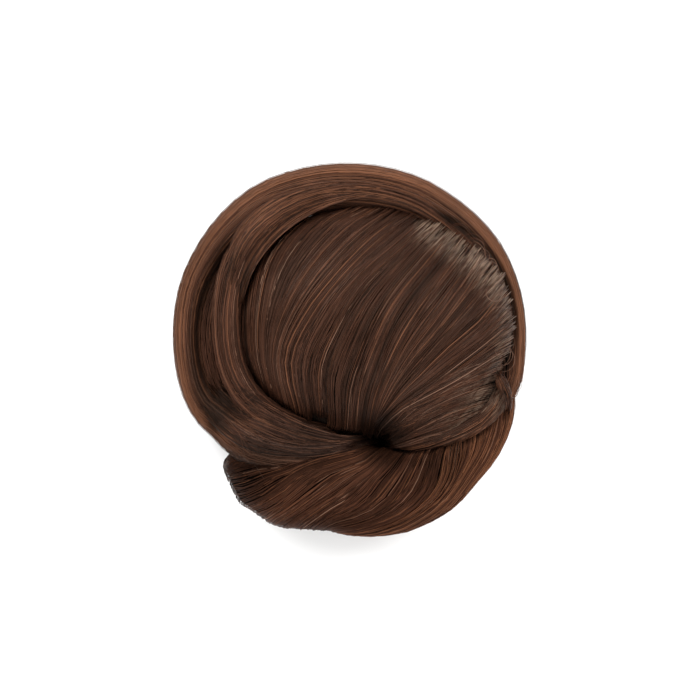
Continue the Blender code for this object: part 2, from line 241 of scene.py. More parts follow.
# How the crown's hair sweeps. Each row is a guide hair from its root to the twist: six points,
# across and along in turn, in shares of the half plan, from the bun's top round to its right.
CROWN_GUIDES = (
    (-0.15, 0.78, -0.37, 0.66, -0.54, 0.46, -0.59, 0.21, -0.58, -0.04, -0.5, -0.26),
    (-0.03, 0.79, -0.28, 0.68, -0.46, 0.49, -0.53, 0.23, -0.53, -0.04, -0.47, -0.3),
    (0.06, 0.79, -0.17, 0.69, -0.37, 0.48, -0.46, 0.22, -0.48, -0.05, -0.43, -0.32),
    (0.16, 0.78, -0.07, 0.65, -0.27, 0.44, -0.4, 0.19, -0.45, -0.06, -0.4, -0.34),
    (0.26, 0.77, 0.03, 0.63, -0.18, 0.42, -0.33, 0.19, -0.41, -0.06, -0.36, -0.36),
    (0.36, 0.76, 0.12, 0.6, -0.09, 0.39, -0.26, 0.17, -0.36, -0.07, -0.3, -0.37),
    (0.46, 0.73, 0.25, 0.56, 0.04, 0.38, -0.13, 0.17, -0.25, -0.08, -0.22, -0.39),
    (0.55, 0.69, 0.35, 0.51, 0.16, 0.31, 0, 0.09, -0.11, -0.14, -0.09, -0.41),
    (0.63, 0.65, 0.46, 0.46, 0.29, 0.25, 0.15, 0.03, 0.05, -0.2, 0.03, -0.44),
    (0.71, 0.59, 0.55, 0.39, 0.39, 0.18, 0.26, -0.02, 0.15, -0.24, 0.11, -0.43),
    (0.78, 0.52, 0.63, 0.32, 0.48, 0.11, 0.33, -0.07, 0.21, -0.24, 0.12, -0.43),
    (0.86, 0.39, 0.72, 0.22, 0.55, 0.05, 0.39, -0.12, 0.26, -0.25, 0.13, -0.41),
    (0.91, 0.26, 0.74, 0.09, 0.57, -0.03, 0.41, -0.16, 0.26, -0.28, 0.14, -0.41),
    (0.93, 0.13, 0.75, 0, 0.58, -0.11, 0.42, -0.22, 0.27, -0.31, 0.15, -0.43),
    (0.91, -0.01, 0.75, -0.09, 0.59, -0.17, 0.43, -0.25, 0.28, -0.33, 0.16, -0.44),
    (0.88, -0.14, 0.72, -0.19, 0.57, -0.23, 0.42, -0.29, 0.29, -0.35, 0.16, -0.44),
    (0.83, -0.22, 0.69, -0.26, 0.55, -0.31, 0.42, -0.38, 0.29, -0.44, 0.18, -0.48),
)

# Hair that is laid over finished locks, in the same shares: from the wrap's top on to the
# inner lock, from the left rim over the tail to the twist, and from the root line over the lip
SPLIT_GUIDES = (
    (0.309, 0.911, -0.032, 0.922, -0.373, 0.847, -0.618, 0.687, -0.714, 0.462, -0.748, 0.232),
    (0.338, 0.868, -0.003, 0.885, -0.333, 0.810, -0.572, 0.655, -0.680, 0.446, -0.720, 0.216),
    (0.349, 0.831, 0.025, 0.852, -0.288, 0.778, -0.521, 0.628, -0.640, 0.430, -0.686, 0.206),
    (0.349, 0.804, 0.042, 0.826, -0.242, 0.751, -0.470, 0.601, -0.595, 0.409, -0.652, 0.195),
    (0.309, 0.783, 0.054, 0.804, -0.191, 0.735, -0.413, 0.591, -0.555, 0.419, -0.618, 0.227),
)
TAIL_GUIDES = (
    (-0.902, -0.265, -0.800, -0.404, -0.629, -0.521, -0.401, -0.580, -0.163, -0.580, 0.054, -0.521),
    (-0.868, -0.233, -0.754, -0.361, -0.572, -0.468, -0.356, -0.532, -0.140, -0.543, 0.065, -0.500),
    (-0.834, -0.201, -0.697, -0.318, -0.515, -0.420, -0.310, -0.489, -0.106, -0.511, 0.088, -0.484),
    (-0.800, -0.158, -0.640, -0.275, -0.458, -0.372, -0.265, -0.446, -0.072, -0.489, 0.099, -0.473),
    (-0.754, -0.094, -0.583, -0.233, -0.401, -0.334, -0.219, -0.414, -0.049, -0.468, 0.105, -0.457),
)
LIP_GUIDES = (
    (0.867, -0.019, 0.679, -0.072, 0.509, -0.158, 0.366, -0.265, 0.258, -0.372, 0.179, -0.457),
    (0.861, -0.104, 0.679, -0.158, 0.509, -0.233, 0.366, -0.318, 0.258, -0.409, 0.184, -0.479),
    (0.850, -0.179, 0.679, -0.233, 0.509, -0.297, 0.366, -0.372, 0.264, -0.446, 0.190, -0.500),
    (0.833, -0.254, 0.679, -0.302, 0.520, -0.361, 0.383, -0.425, 0.275, -0.479, 0.201, -0.516),
    (0.810, -0.313, 0.668, -0.366, 0.520, -0.425, 0.383, -0.473, 0.281, -0.511, 0.207, -0.527),
    (0.787, -0.350, 0.656, -0.409, 0.520, -0.468, 0.395, -0.511, 0.292, -0.532, 0.213, -0.537),
)

# How the bottom roll's hair fans. Each row is a guide hair from under the lip to the roll's
# underside: six points, turn and section angle in degrees, from the left lobe to the rim.
ROLL_GUIDES = (
    (280, 215, 262, 215, 248, 222, 239, 234, 234, 248, 236, 266),
    (283, 192, 262, 188, 246, 192, 234, 203, 228, 224, 229, 250),
    (285, 175, 262, 160, 243, 150, 231, 152, 225, 172, 224, 205),
    (285.5, 170, 262, 148, 243, 128, 229.5, 125, 223.5, 110, 222.9, 60),
    (286, 165, 262, 135, 243, 105, 229, 98, 224, 40, 223, -60),
    (288, 160, 270, 125, 252, 98, 238, 70, 231, 20, 229, -70),
    (291, 150, 280, 118, 266, 92, 252, 60, 243, 15, 240, -75),
    (296, 140, 284, 108, 271, 78, 260, 45, 254, 5, 250, -75),
    (312, 122, 301, 95, 286, 68, 272, 38, 262, 0, 257, -75),
    (331, 108, 318, 80, 302, 55, 286, 30, 272, 0, 264, -70),
    (345, 98, 330, 76, 312, 52, 294, 28, 279, 0, 270, -70),
    (352, 85, 335, 68, 319, 46, 303, 25, 287, 2, 276, -65),
    (354, 40, 338, 26, 320, 10, 302, -12, 285, -35, 272, -80),
    (354, 0, 338, -14, 320, -30, 302, -50, 290, -70, 281, -92),
    (354, -50, 342, -58, 328, -68, 314, -80, 304, -92, 296, -104),
)


def display(red, green, blue):
    """A colour's linear values from its 0 to 255 display values."""
    shares = (channel / 255 for channel in (red, green, blue))
    return tuple(s / 12.92 if s <= 0.04045 else ((s + 0.055) / 1.055) ** 2.4 for s in shares)


def tint(name, description, default):
    """A colour setting."""
    return FloatVectorProperty(
        name=name, description=description, default=default, subtype="COLOR", min=0, max=1
    )


def size(name, description, default):
    """A length setting, in metres."""
    return FloatProperty(name=name, description=description, default=default, unit="LENGTH")


class TopKnotHair(PropertyGroup):
    """Sizes and colours of the hair."""

    strand_width: size("Strand width", "Width of a strand", 0.00037)
    strand_step: size("Strand step", "Length between bends", 0.0070)
    layer_depth: size("Layer depth", "Depth of the loose top layer", 0.0010)
    ridge_height: size("Ridge height", "Height of the strands' bunches", 0.0007)
    density: FloatProperty(name="Density", description="Share of the full hair", default=1.0, min=0.05)
    roughness: FloatProperty(name="Roughness", description="Dullness of the hair", default=0.40)
    under: tint("Under layer", "Hair in the shade between strands", display(20, 12, 8))
    dark: tint("Dark", "Darkest strands", display(36, 21, 14))
    middle: tint("Middle", "Most strands", display(64, 39, 28))
    light: tint("Light", "Lighter strands", display(86, 54, 39))
    pale: tint("Pale", "Single bright strands", display(140, 106, 87))
    warm_dark: tint("Warm dark", "Darker chestnut strands", display(68, 42, 30))
    warm_light: tint("Warm light", "Lighter chestnut strands", display(122, 79, 55))
    # Painted sheen: a lighter, greyish colour for the highlight where the hair bends over at its roots
    root: tint("Root", "Greyish sheen where the hair bends over at its roots", display(138, 115, 97))


class TopKnotCap(PropertyGroup):
    """Sizes and colours of the stretch cap and the comb."""

    net_wall: size("Net wall", "Net thickness", 0.0009)
    net_pitch: size("Net pitch", "Size of the net's holes", 0.0014)
    rim_height: size("Rim height", "Height of the elastic rim", 0.0060)
    rim_wall: size("Rim wall", "Thickness of the elastic rim", 0.0026)
    rib_count: IntProperty(name="Ribs", description="Gathers round the elastic rim", default=96)
    weft_count: IntProperty(name="Wefts", description="Sewn tapes inside the net", default=4)
    net_colour: tint("Net", "Stretch net", display(44, 31, 25))
    thread_colour: tint("Thread", "Net yarn and stitches", display(78, 58, 47))
    comb_colour: tint("Comb", "Comb plastic", display(40, 27, 21))


class TopKnotStage(PropertyGroup):
    """Camera, floor and lights."""

    camera_distance: size("Camera distance", "Height of the camera", 1.222)
    lens: FloatProperty(name="Lens", description="Focal length in millimetres", default=170)
    floor_size: size("Floor", "Width of the floor", 4.0)
    floor_colour: tint("Floor", "Pale floor", (0.94, 0.94, 0.935))
    light_power: FloatProperty(name="Lights", description="Power of the key light in watts", default=16)
    sky_strength: FloatProperty(name="Sky", description="Strength of the light all round", default=0.85)


# Numbers


def unit(vectors):
    return vectors / np.maximum(np.linalg.norm(vectors, axis=-1, keepdims=True), 1e-12)


def signed_power(value, exponent):
    return np.sign(value) * np.abs(value) ** exponent


def smooth_step(value):
    value = np.clip(value, 0, 1)
    return value * value * (3 - 2 * value)


def row_weights(place, count):
    """Catmull-Rom weights of a table's rows at fractional row numbers, on a new last axis."""
    place = np.clip(place, 0, count - 1)
    start = np.minimum(place.astype(int), count - 2)
    f = place - start
    shares = (
        f * f - 0.5 * (f + f**3),
        1 - 2.5 * f * f + 1.5 * f**3,
        0.5 * f + 2 * f * f - 1.5 * f**3,
        0.5 * (f**3 - f * f),
    )
    weights = np.zeros((place.size, count))
    everyone = np.arange(place.size)
    for step, share in enumerate(shares, -1):
        row = np.clip(start + step, 0, count - 1)
        np.add.at(weights, (everyone, row.ravel()), share.ravel())
    return weights.reshape(*place.shape, count)


def guide_sheet(rows):
    """A table of guide hairs as an array: hair, point along it, its two values."""
    return np.array(rows, float).reshape(len(rows), -1, 2)


def on_sheet(guides, place, share):
    """Points on a sheet of guide hairs: place runs across the guides, share along them."""
    across = row_weights(place, guides.shape[0])
    along = row_weights(share * (guides.shape[1] - 1), guides.shape[1])
    return np.einsum("nsg,nsk,gkd->nsd", across, along, guides)


# Surfaces that the hair lies on


def middle_of(rows):
    """The middles of a lock at these rows of its route."""
    turn = np.radians(rows[..., 0])
    plan = HALF_PLAN * rows[..., 1:2] * np.stack((np.cos(turn), np.sin(turn)), -1) + BUN_AXIS
    return np.concatenate((plan, BUN_HEIGHT * rows[..., 2:3]), -1)


def lock_surface(lock, place, angle, lift):
    """Points over a lock's surface, at fractional rows and section angles, with normals."""
    route = np.array(lock.route)
    row = row_weights(place, len(route)) @ route
    ahead = middle_of(row_weights(place + 0.05, len(route)) @ route)
    behind = middle_of(row_weights(place - 0.05, len(route)) @ route)
    tangent = unit(ahead - behind)
    across = unit(np.cross(tangent, UP))
    upward = np.cross(across, tangent)
    half_wide = lock.width / 2 * row[..., 3:4]
    half_tall = lock.height / 2 * row[..., 4:5]
    cosine, sine = np.cos(angle)[..., None], np.sin(angle)[..., None]
    bend = 2 / SECTION_POWER
    out = half_wide * signed_power(cosine, bend)
    rise = half_tall * signed_power(sine, bend)
    normal = unit(
        across * signed_power(cosine, 2 - bend) / half_wide
        + upward * signed_power(sine, 2 - bend) / half_tall
    )
    points = middle_of(row) + across * out + upward * rise + normal * lift[..., None]
    if lock.hollowed:
        points[..., 2] -= hollow(points)
    return points, normal


def crown_surface(plan, lift):
    """Points over the crown, from plan shares. Past the springing they go down its side."""
    shares = (plan - DOME_MIDDLE) / DOME_HALF
    reach = np.linalg.norm(shares, axis=-1, keepdims=True)
    over = np.minimum(reach, 1)
    shares = shares / np.maximum(reach, 1) * (1 - 0.1 * np.maximum(reach - 1, 0))
    rise = np.sqrt(np.maximum(1 - over**2, 0))
    flat = HALF_PLAN * (DOME_MIDDLE + DOME_HALF * shares) + BUN_AXIS
    dome = BUN_HEIGHT - CROWN_SPRING
    height = CROWN_SPRING + dome * rise - DOME_FALL * np.maximum(reach - 1, 0)
    normal = unit(np.concatenate((shares / (HALF_PLAN * DOME_HALF), rise / dome), -1))
    return np.concatenate((flat, height), -1) + normal * lift[..., None], normal


def window(plan, direction, edge):
    """1 where plan shares lie in this direction from the middle, falling to 0 at the edge."""
    aim = math.radians(direction)
    cosine = unit(plan) @ np.array((math.cos(aim), math.sin(aim)))
    return smooth_step((cosine - edge) / 0.08)


def eased(points, node):
    """Points of a lock's hair, moved off its solid's outline as the lock's rows say."""
    if node not in EASES:
        return points
    rows = np.array(EASES[node]).T
    plan = points[..., :2]
    reach = np.linalg.norm(plan, axis=-1)
    turn = np.degrees(np.arctan2(plan[..., 1], plan[..., 0])) % 360
    share = smooth_step((np.linalg.norm(plan / HALF_PLAN, axis=-1) - 0.70) / 0.22)
    out = reach + share * np.interp(turn, rows[0], rows[1])
    turn = np.radians(turn + share * np.interp(turn, rows[0], rows[2], 0, 0))
    return np.stack((out * np.cos(turn), out * np.sin(turn), points[..., 2]), -1)


def hollow(points):
    """How far the wrap's hair sinks at these points."""
    plan = (points[..., :2] - BUN_AXIS) / HALF_PLAN
    dome = (plan - DOME_MIDDLE) / DOME_HALF
    beside = np.exp(-(((np.linalg.norm(dome, axis=-1) - 1.012) / 0.030) ** 2))
    direction, edge, depth = ROOT_GROOVE
    groove = depth * window(dome, direction, edge) * beside
    inside = smooth_step((VALLEY_EDGE - np.linalg.norm(plan, axis=-1)) / 0.05)
    direction, edge, depth = LEFT_VALLEY
    valley = depth * window(plan, direction, edge) * inside
    return (groove + valley) * smooth_step((points[..., 2] - 0.016) / 0.010)


# Growing strands

# tone and width hold one number a strand; at(picked, share) gives points and normals.
Strands = namedtuple("Strands", "tone width at")


def bunches(across, count, rng):
    """Splits strands, from their places across, into bunches of uneven width.

    Gives each strand's bunch and its place within it, from -1 to 1.
    """
    edges = np.linspace(0, 1, count + 1)
    edges[1:-1] += rng.uniform(-0.35, 0.35, count - 1) / count
    bunch = np.clip(np.searchsorted(edges, across) - 1, 0, count - 1)
    within = (across - edges[bunch]) / (edges[bunch + 1] - edges[bunch]) * 2 - 1
    return bunch, within


def drift_field(rng, waves=5):
    """A function that gives a smooth sideways drift, about -1 to 1, over a sheet of hair."""
    along_rate = rng.uniform(0.5, 2.6, waves)
    across_rate = rng.uniform(-2.5, 2.5, waves)
    phase = rng.uniform(0, math.tau, waves)
    size = 1.1 / waves / np.sqrt(along_rate)

    def drift(across, along):
        angle = along_rate * along[..., None] + across_rate * across[..., None]
        return (size * np.sin(math.tau * angle + phase)).sum(-1)

    return drift


def strand_swing(rng, count):
    """A function that gives each strand's own small swing, about -1 to 1, along its length."""
    rate = rng.uniform(0.6, 2.4, count)
    phase = rng.uniform(0, math.tau, count)
    size = rng.uniform(0.2, 1.0, count) ** 2

    def swing(picked, along):
        return size[picked, None] * np.sin(math.tau * rate[picked, None] * along + phase[picked, None])

    return swing


def strand_tones(bunch, warmth, pale_share, rng):
    """A tone for each strand: most plain, a few pale, and warm ones where warmth is high."""
    count = len(bunch)
    shift = rng.normal(0, 0.10, bunch.max() + 1)[bunch]
    level = np.clip(0.47 + shift + rng.normal(0, 0.23, count), 0, 1)
    low, high = PLAIN_TONES
    tone = low + (high - low) * level
    warm = rng.random(count) < warmth
    low, high = WARM_TONES
    tone[warm] = (low + (high - low) * level)[warm]
    pale = rng.random(count) < pale_share
    tone[pale] = rng.uniform(*PALE_TONES, count)[pale]
    return tone


def lift_of(hair, bunch, within, strays, rng):
    """Each strand's height over its surface: ridged by bunch, loose at the top."""
    count = len(bunch)
    layer = rng.uniform(-0.5, 0.15, count) * hair.layer_depth
    ridge = hair.ridge_height * rng.uniform(0.2, 1.0, bunch.max() + 1)[bunch] * (1 - within**2)
    stray = (rng.random(count) < strays) * rng.uniform(0.2, 0.6, count) * hair.layer_depth
    deep = rng.random(count) < 0.3
    return np.where(deep, rng.uniform(-0.6, -0.35, count) * hair.layer_depth, layer + ridge + stray)


def sunk_ends(lift, share, run):
    """Lift along a strand, with both its ends sunk into the hair over a run of its length."""
    rise = smooth_step(np.minimum(share, 1 - share) / run)
    return lift * rise - 1.2 * UNDER_DEPTH * (1 - rise)


# low to high: section angles in degrees that hair grows over; whole: share of strands as long
# as the lock; twist in degrees; drift and swing in radians; back: rooted at the route's end
Growth = namedtuple("Growth", "count low high whole bunches twist drift swing warmth pale back")


def even_angles(lock, low, high, across):
    """Section angles that are evenly spaced along the section's outline."""
    angles = np.radians(np.linspace(low, high, 400))
    bend = 2 / SECTION_POWER
    x = lock.width * signed_power(np.cos(angles), bend)
    y = lock.height * signed_power(np.sin(angles), bend)
    length = np.concatenate(((0,), np.cumsum(np.hypot(np.diff(x), np.diff(y)))))
    return np.interp(across * length[-1], length, angles)


def lock_strands(hair, lock, growth, seed):
    """Strands that run along a lock."""
    rng = np.random.default_rng(seed)
    count = max(int(growth.count * hair.density), 12)
    across = rng.random(count)
    angle = even_angles(lock, growth.low, growth.high, across)
    bunch, within = bunches(across, growth.bunches, rng)
    lift = lift_of(hair, bunch, within, 0.02, rng)
    whole = rng.random(count) < growth.whole
    length = np.where(whole, 1, rng.uniform(0.3, 0.7, count))
    start = rng.random(count) * (1 - length)
    drift, swing = drift_field(rng), strand_swing(rng, count)
    # Chestnut strands are partly the hair's own colour. That more of them lie on the lock's outer face
    # is a painted glow, for light shining through the hair at the rim.
    near_out = np.abs(np.degrees(angle)) < 70
    tone = strand_tones(bunch, growth.warmth * np.where(near_out, 1, 0.35), growth.pale, rng)
    width = hair.strand_width * rng.uniform(0.7, 1.25, count)

    places = np.linspace(0, len(lock.route) - 1, 300)
    middles = middle_of(row_weights(places, len(lock.route)) @ np.array(lock.route))
    run = np.concatenate(((0,), np.cumsum(np.linalg.norm(np.diff(middles, axis=0), axis=1))))

    def at(picked, share):
        if growth.back:
            share = 1 - share
        length_share = start[picked, None] + length[picked, None] * share
        place = np.interp(length_share * run[-1], run, places)
        turned = angle[picked, None] + math.radians(growth.twist) * (length_share - 0.5)
        turned = turned + growth.drift * drift(across[picked, None], length_share)
        turned = turned + growth.swing * swing(picked, length_share)
        lifted = sunk_ends(lift[picked, None], share, 0.10)
        return lock_surface(lock, place, turned, lifted)

    return Strands(tone, width, at)


def guide_places(guides, middle, across):
    """Places across guide hairs, spread by how far apart the guides are at their middles."""
    points = guides[:, middle]
    gaps = np.linalg.norm(np.diff(points, axis=0), axis=1)
    length = np.concatenate(((0,), np.cumsum(gaps)))
    return np.interp(across * length[-1], length, np.arange(len(guides)))


def crown_sheet():
    """The crown's guides as plan shares, carried on past the root line and into the twist."""
    shares = (guide_sheet(CROWN_GUIDES) - DOME_MIDDLE) / DOME_HALF
    shares = np.concatenate((unit(shares[:, :1]) * 1.05, shares, shares[:, -1:] * 1.12), 1)
    outer = np.concatenate((shares[:1] * 1.18, shares[:1] * 1.07), 0)
    lower = shares[-1:] - np.array((0.0, 0.08))
    return np.concatenate((outer, shares, lower), 0) * DOME_HALF + DOME_MIDDLE


def crown_strands(hair, count, seed, short=False):
    """Strands that sweep over the dome from the root line to the twist, or only its roots."""
    rng = np.random.default_rng(seed)
    count = max(int(count * hair.density), 12)
    guides = crown_sheet()
    across = rng.random(count)
    place = guide_places(guides, 1 if short else 3, across)
    bunch, within = bunches(across, 84 if short else 62, rng)
    lift = lift_of(hair, bunch, within, 0.03, rng)
    tuft, in_tuft = bunches(across, 70, rng)
    root_lift = rng.uniform(0.3, 1.9, tuft.max() + 1)[tuft] * hair.layer_depth
    root_lift = root_lift * (1 - 0.5 * in_tuft**2)
    root_start = rng.uniform(0, 0.020, tuft.max() + 1)[tuft]
    drift, swing = drift_field(rng), strand_swing(rng, count)
    partial = rng.random(count) < 0.25
    if short:
        start = root_start + rng.uniform(0, 0.02, count)
        length = rng.uniform(0.10, 0.32, count)
    else:
        start = np.where(partial, rng.uniform(0.05, 0.35, count), root_start)
        length = np.where(partial, rng.uniform(0.5, 0.65, count), 1 - root_start)
    tone = strand_tones(bunch, np.full(count, 0.05), 0.022, rng)
    width = hair.strand_width * rng.uniform(0.7, 1.2, count)

    def at(picked, share):
        along = start[picked, None] + length[picked, None] * share
        middle = smooth_step(along / 0.3)
        placed = place[picked, None] + CROWN_DRIFT * drift(across[picked, None], along) * middle
        placed = placed + CROWN_SWING * swing(picked, along)
        plan = on_sheet(guides, placed, along)
        bend = smooth_step(1 - np.abs(along - ROOT_BEND) / ROOT_RUN)
        lifted = sunk_ends(lift[picked, None], share, 0.06) + root_lift[picked, None] * bend
        return crown_surface(plan, lifted)

    return Strands(tone, width, at)


def roll_strands(hair, count, seed):
    """Strands that fan from under the lip over the bottom roll."""
    rng = np.random.default_rng(seed)
    count = max(int(count * hair.density), 12)
    guides = np.radians(guide_sheet(ROLL_GUIDES))
    turns = np.radians([row[0] for row in BOTTOM_ROLL.route])
    across = rng.random(count)
    place = guide_places(guides, 2, across)
    bunch, within = bunches(across, 46, rng)
    lift = lift_of(hair, bunch, within, 0.02, rng)
    drift, swing = drift_field(rng), strand_swing(rng, count)
    partial = rng.random(count) < 0.25
    start = np.where(partial, rng.uniform(0.0, 0.4, count), 0)
    length = np.where(partial, rng.uniform(0.45, 0.6, count), 1)
    tone = strand_tones(bunch, 0.10 + 0.35 * (across > 0.55), 0.03, rng)
    width = hair.strand_width * rng.uniform(0.7, 1.25, count)

    def at(picked, share):
        along = start[picked, None] + length[picked, None] * share
        placed = place[picked, None] + ROLL_DRIFT * drift(across[picked, None], along)
        placed = placed + ROLL_SWING * swing(picked, along)
        turn, angle = np.moveaxis(on_sheet(guides, placed, along), -1, 0)
        row = np.interp(turn, turns, np.arange(len(turns)))
        calm = 1 - 0.6 * smooth_step((along - 0.45) / 0.3)
        lifted = sunk_ends(ROLL_LIFT + lift[picked, None] * calm, share, 0.10)
        return lock_surface(BOTTOM_ROLL, row, angle, lifted)

    return Strands(tone, width, at)


@cache
def rest_field():
    """Heights of the hair's solids over a grid in plan: as they are, and with creases filled."""
    tree = tree_of([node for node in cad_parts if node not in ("comb", "base_cap")], True)
    places = np.arange(-FIELD_HALF, FIELD_HALF, FIELD_STEP)
    heights = np.zeros((len(places), len(places)))
    for i, x in enumerate(places):
        for j, y in enumerate(places):
            hit = tree.ray_cast((x, y, FIELD_TOP), (0, 0, -1))[0]
            heights[i, j] = hit.z if hit else 0.0
    filled = spread(spread(heights, FIELD_CLOSING, np.maximum), FIELD_CLOSING, np.minimum)
    for _ in range(3):
        filled = sum(np.roll(filled, (i, j), (0, 1)) for i in (-1, 0, 1) for j in (-1, 0, 1)) / 9
    return heights, np.maximum(filled, heights)


def spread(grid, radius, choose):
    """A grid with each cell's highest or lowest neighbour within this radius."""
    made = grid
    for i in range(-radius, radius + 1):
        for j in range(-radius, radius + 1):
            if i * i + j * j <= radius * radius:
                made = choose(made, np.roll(grid, (i, j), (0, 1)))
    return made


def sampled(grid, plan):
    """A grid's heights at places in plan, blended between its cells."""
    place = np.clip((plan + FIELD_HALF) / FIELD_STEP, 0, len(grid) - 1.001)
    cell = place.astype(int)
    right, up = np.moveaxis(place - cell, -1, 0)
    i, j = np.moveaxis(cell, -1, 0)
    low = grid[i, j] * (1 - right) + grid[i + 1, j] * right
    high = grid[i, j + 1] * (1 - right) + grid[i + 1, j + 1] * right
    return low * (1 - up) + high * up


def laid_strands(hair, guides, count, warmth, seed):
    """Strands that lie over the finished locks along a sheet of guide hairs."""
    rng = np.random.default_rng(seed)
    count = max(int(count * hair.density), 12)
    guides = guide_sheet(guides)
    across = rng.random(count)
    place = guide_places(guides, 2, across)
    bunch, within = bunches(across, max(count // 22, 3), rng)
    lift = LAID_LIFT + lift_of(hair, bunch, within, 0.03, rng)
    drift, swing = drift_field(rng), strand_swing(rng, count)
    length = rng.uniform(0.5, 1.0, count)
    start = rng.random(count) * (1 - length)
    tone = strand_tones(bunch, np.full(count, warmth), 0.04, rng)
    width = hair.strand_width * rng.uniform(0.65, 1.1, count)
    filled = rest_field()[1]

    def at(picked, share):
        along = start[picked, None] + length[picked, None] * share
        placed = place[picked, None] + LAID_DRIFT * drift(across[picked, None], along)
        placed = placed + LAID_SWING * swing(picked, along)
        plan = on_sheet(guides, placed, along) * HALF_PLAN + BUN_AXIS
        height = sampled(filled, plan) + sunk_ends(lift[picked, None], share, 0.16)
        points = np.concatenate((plan, height[..., None]), -1)
        return points, np.broadcast_to(UP, points.shape)

    return Strands(tone, width, at)


def root_line(turn, reach):
    """Plan places by the dome's root line, at these angles about its middle."""
    return DOME_CENTRE + DOME_SIZE * reach[:, None] * np.stack((np.cos(turn), np.sin(turn)), -1)


def curling_plans(rng, start, heading, length, turning):
    """Loose hairs in plan, that start at these places and curl as they go."""
    share = np.linspace(0, 1, 18)
    angle = heading[:, None] + turning[:, None] * share
    lengths = length * rng.uniform(0.6, 1.35, len(start))
    steps = np.stack((np.cos(angle), np.sin(angle)), -1) * (lengths / len(share))[:, None, None]
    return start[:, None] + np.cumsum(steps, 1)


def loose_strands(hair, seed):
    """Flyaway hairs: loops at the root line, and hairs that cross the tail at the left."""
    rng = np.random.default_rng(seed)
    heights, filled = rest_field()
    turn = np.radians(np.concatenate((rng.normal(34, 7, 30), rng.uniform(-16, 60, 40))))
    bend = rng.choice((-1, 1), len(turn)) * np.radians(rng.uniform(120, 260, len(turn)))
    heading = turn + rng.normal(0, 0.6, len(turn))
    start = root_line(turn, rng.uniform(0.93, 0.99, len(turn)))
    loops = curling_plans(rng, start, heading, 0.014, bend)
    count = 46
    start = BUN_AXIS + HALF_PLAN * (np.array((-0.70, -0.36)) + rng.normal(0, 0.10, (count, 2)))
    heading = np.radians(rng.normal(-28, 16, count))
    crossing = curling_plans(rng, start, heading, 0.020, np.radians(rng.normal(8, 24, count)))
    batches = []
    kinds = ((loops, 34, 0.0024, (0.50, 0.68)), (crossing, 22, 0.0008, (0.40, 0.64)))
    for plan, limit, hop, tones in kinds:
        inside = sampled(heights, plan).min(1) > LOOSE_FLOOR
        inside &= np.linalg.norm(plan / HALF_PLAN, axis=-1).max(1) < LOOSE_REACH
        plan = plan[inside][:limit]
        count = len(plan)
        share = np.linspace(0, 1, plan.shape[1])
        hops = rng.uniform(0.2, 1.0, count)[:, None] * hop * np.sin(math.pi * share)
        height = sampled(filled, plan) + 0.0007 + hops - 0.0012 * (1 - smooth_step(share / 0.2))
        points = np.concatenate((plan, height[..., None]), -1)
        tone = rng.uniform(*tones, count)
        width = hair.strand_width * rng.uniform(0.40, 0.6, count)
        share = np.tile(np.linspace(0.3, 1, plan.shape[1]), (count, 1))
        batches.append(tube_arrays(points, np.broadcast_to(UP, points.shape), width, tone, share))
    return batches


# From strands to meshes


def tree_of(nodes, sunk=False):
    """A search tree over these nodes' faces together, with or without the wrap's hollows."""
    corners, faces = [], []
    for node in nodes:
        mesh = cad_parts[node].data
        faces += [[v + len(corners) for v in polygon.vertices] for polygon in mesh.polygons]
        places = np.array([vertex.co for vertex in mesh.vertices])
        if sunk and node == OUTER_WRAP.node:
            places[:, 2] -= hollow(places)
        corners += places.tolist()
    return BVHTree.FromPolygons(corners, faces)


def is_covered(point, tree):
    """Whether a point lies deeper than the covered depth inside one of the tree's solids."""
    if tree.find_nearest(point, COVERED_DEPTH)[0] is not None:
        return False
    _, normal, _, _ = tree.ray_cast(point, WAY_OUT)
    return normal is not None and normal.dot(WAY_OUT) > 0


def open_stretches(points, tree):
    """The first and last probe of each strand's longest stretch that nothing covers."""
    covered = [[is_covered(point, tree) for point in strand] for strand in points.tolist()]
    stretches = []
    for strand in covered:
        best, start = (0, -1), None
        for i, hidden in enumerate((*strand, True)):
            if hidden and start is not None:
                best = max(best, (start, i - 1), key=lambda ends: ends[1] - ends[0])
                start = None
            elif not hidden and start is None:
                start = i
        stretches.append(best)
    return np.array(stretches)


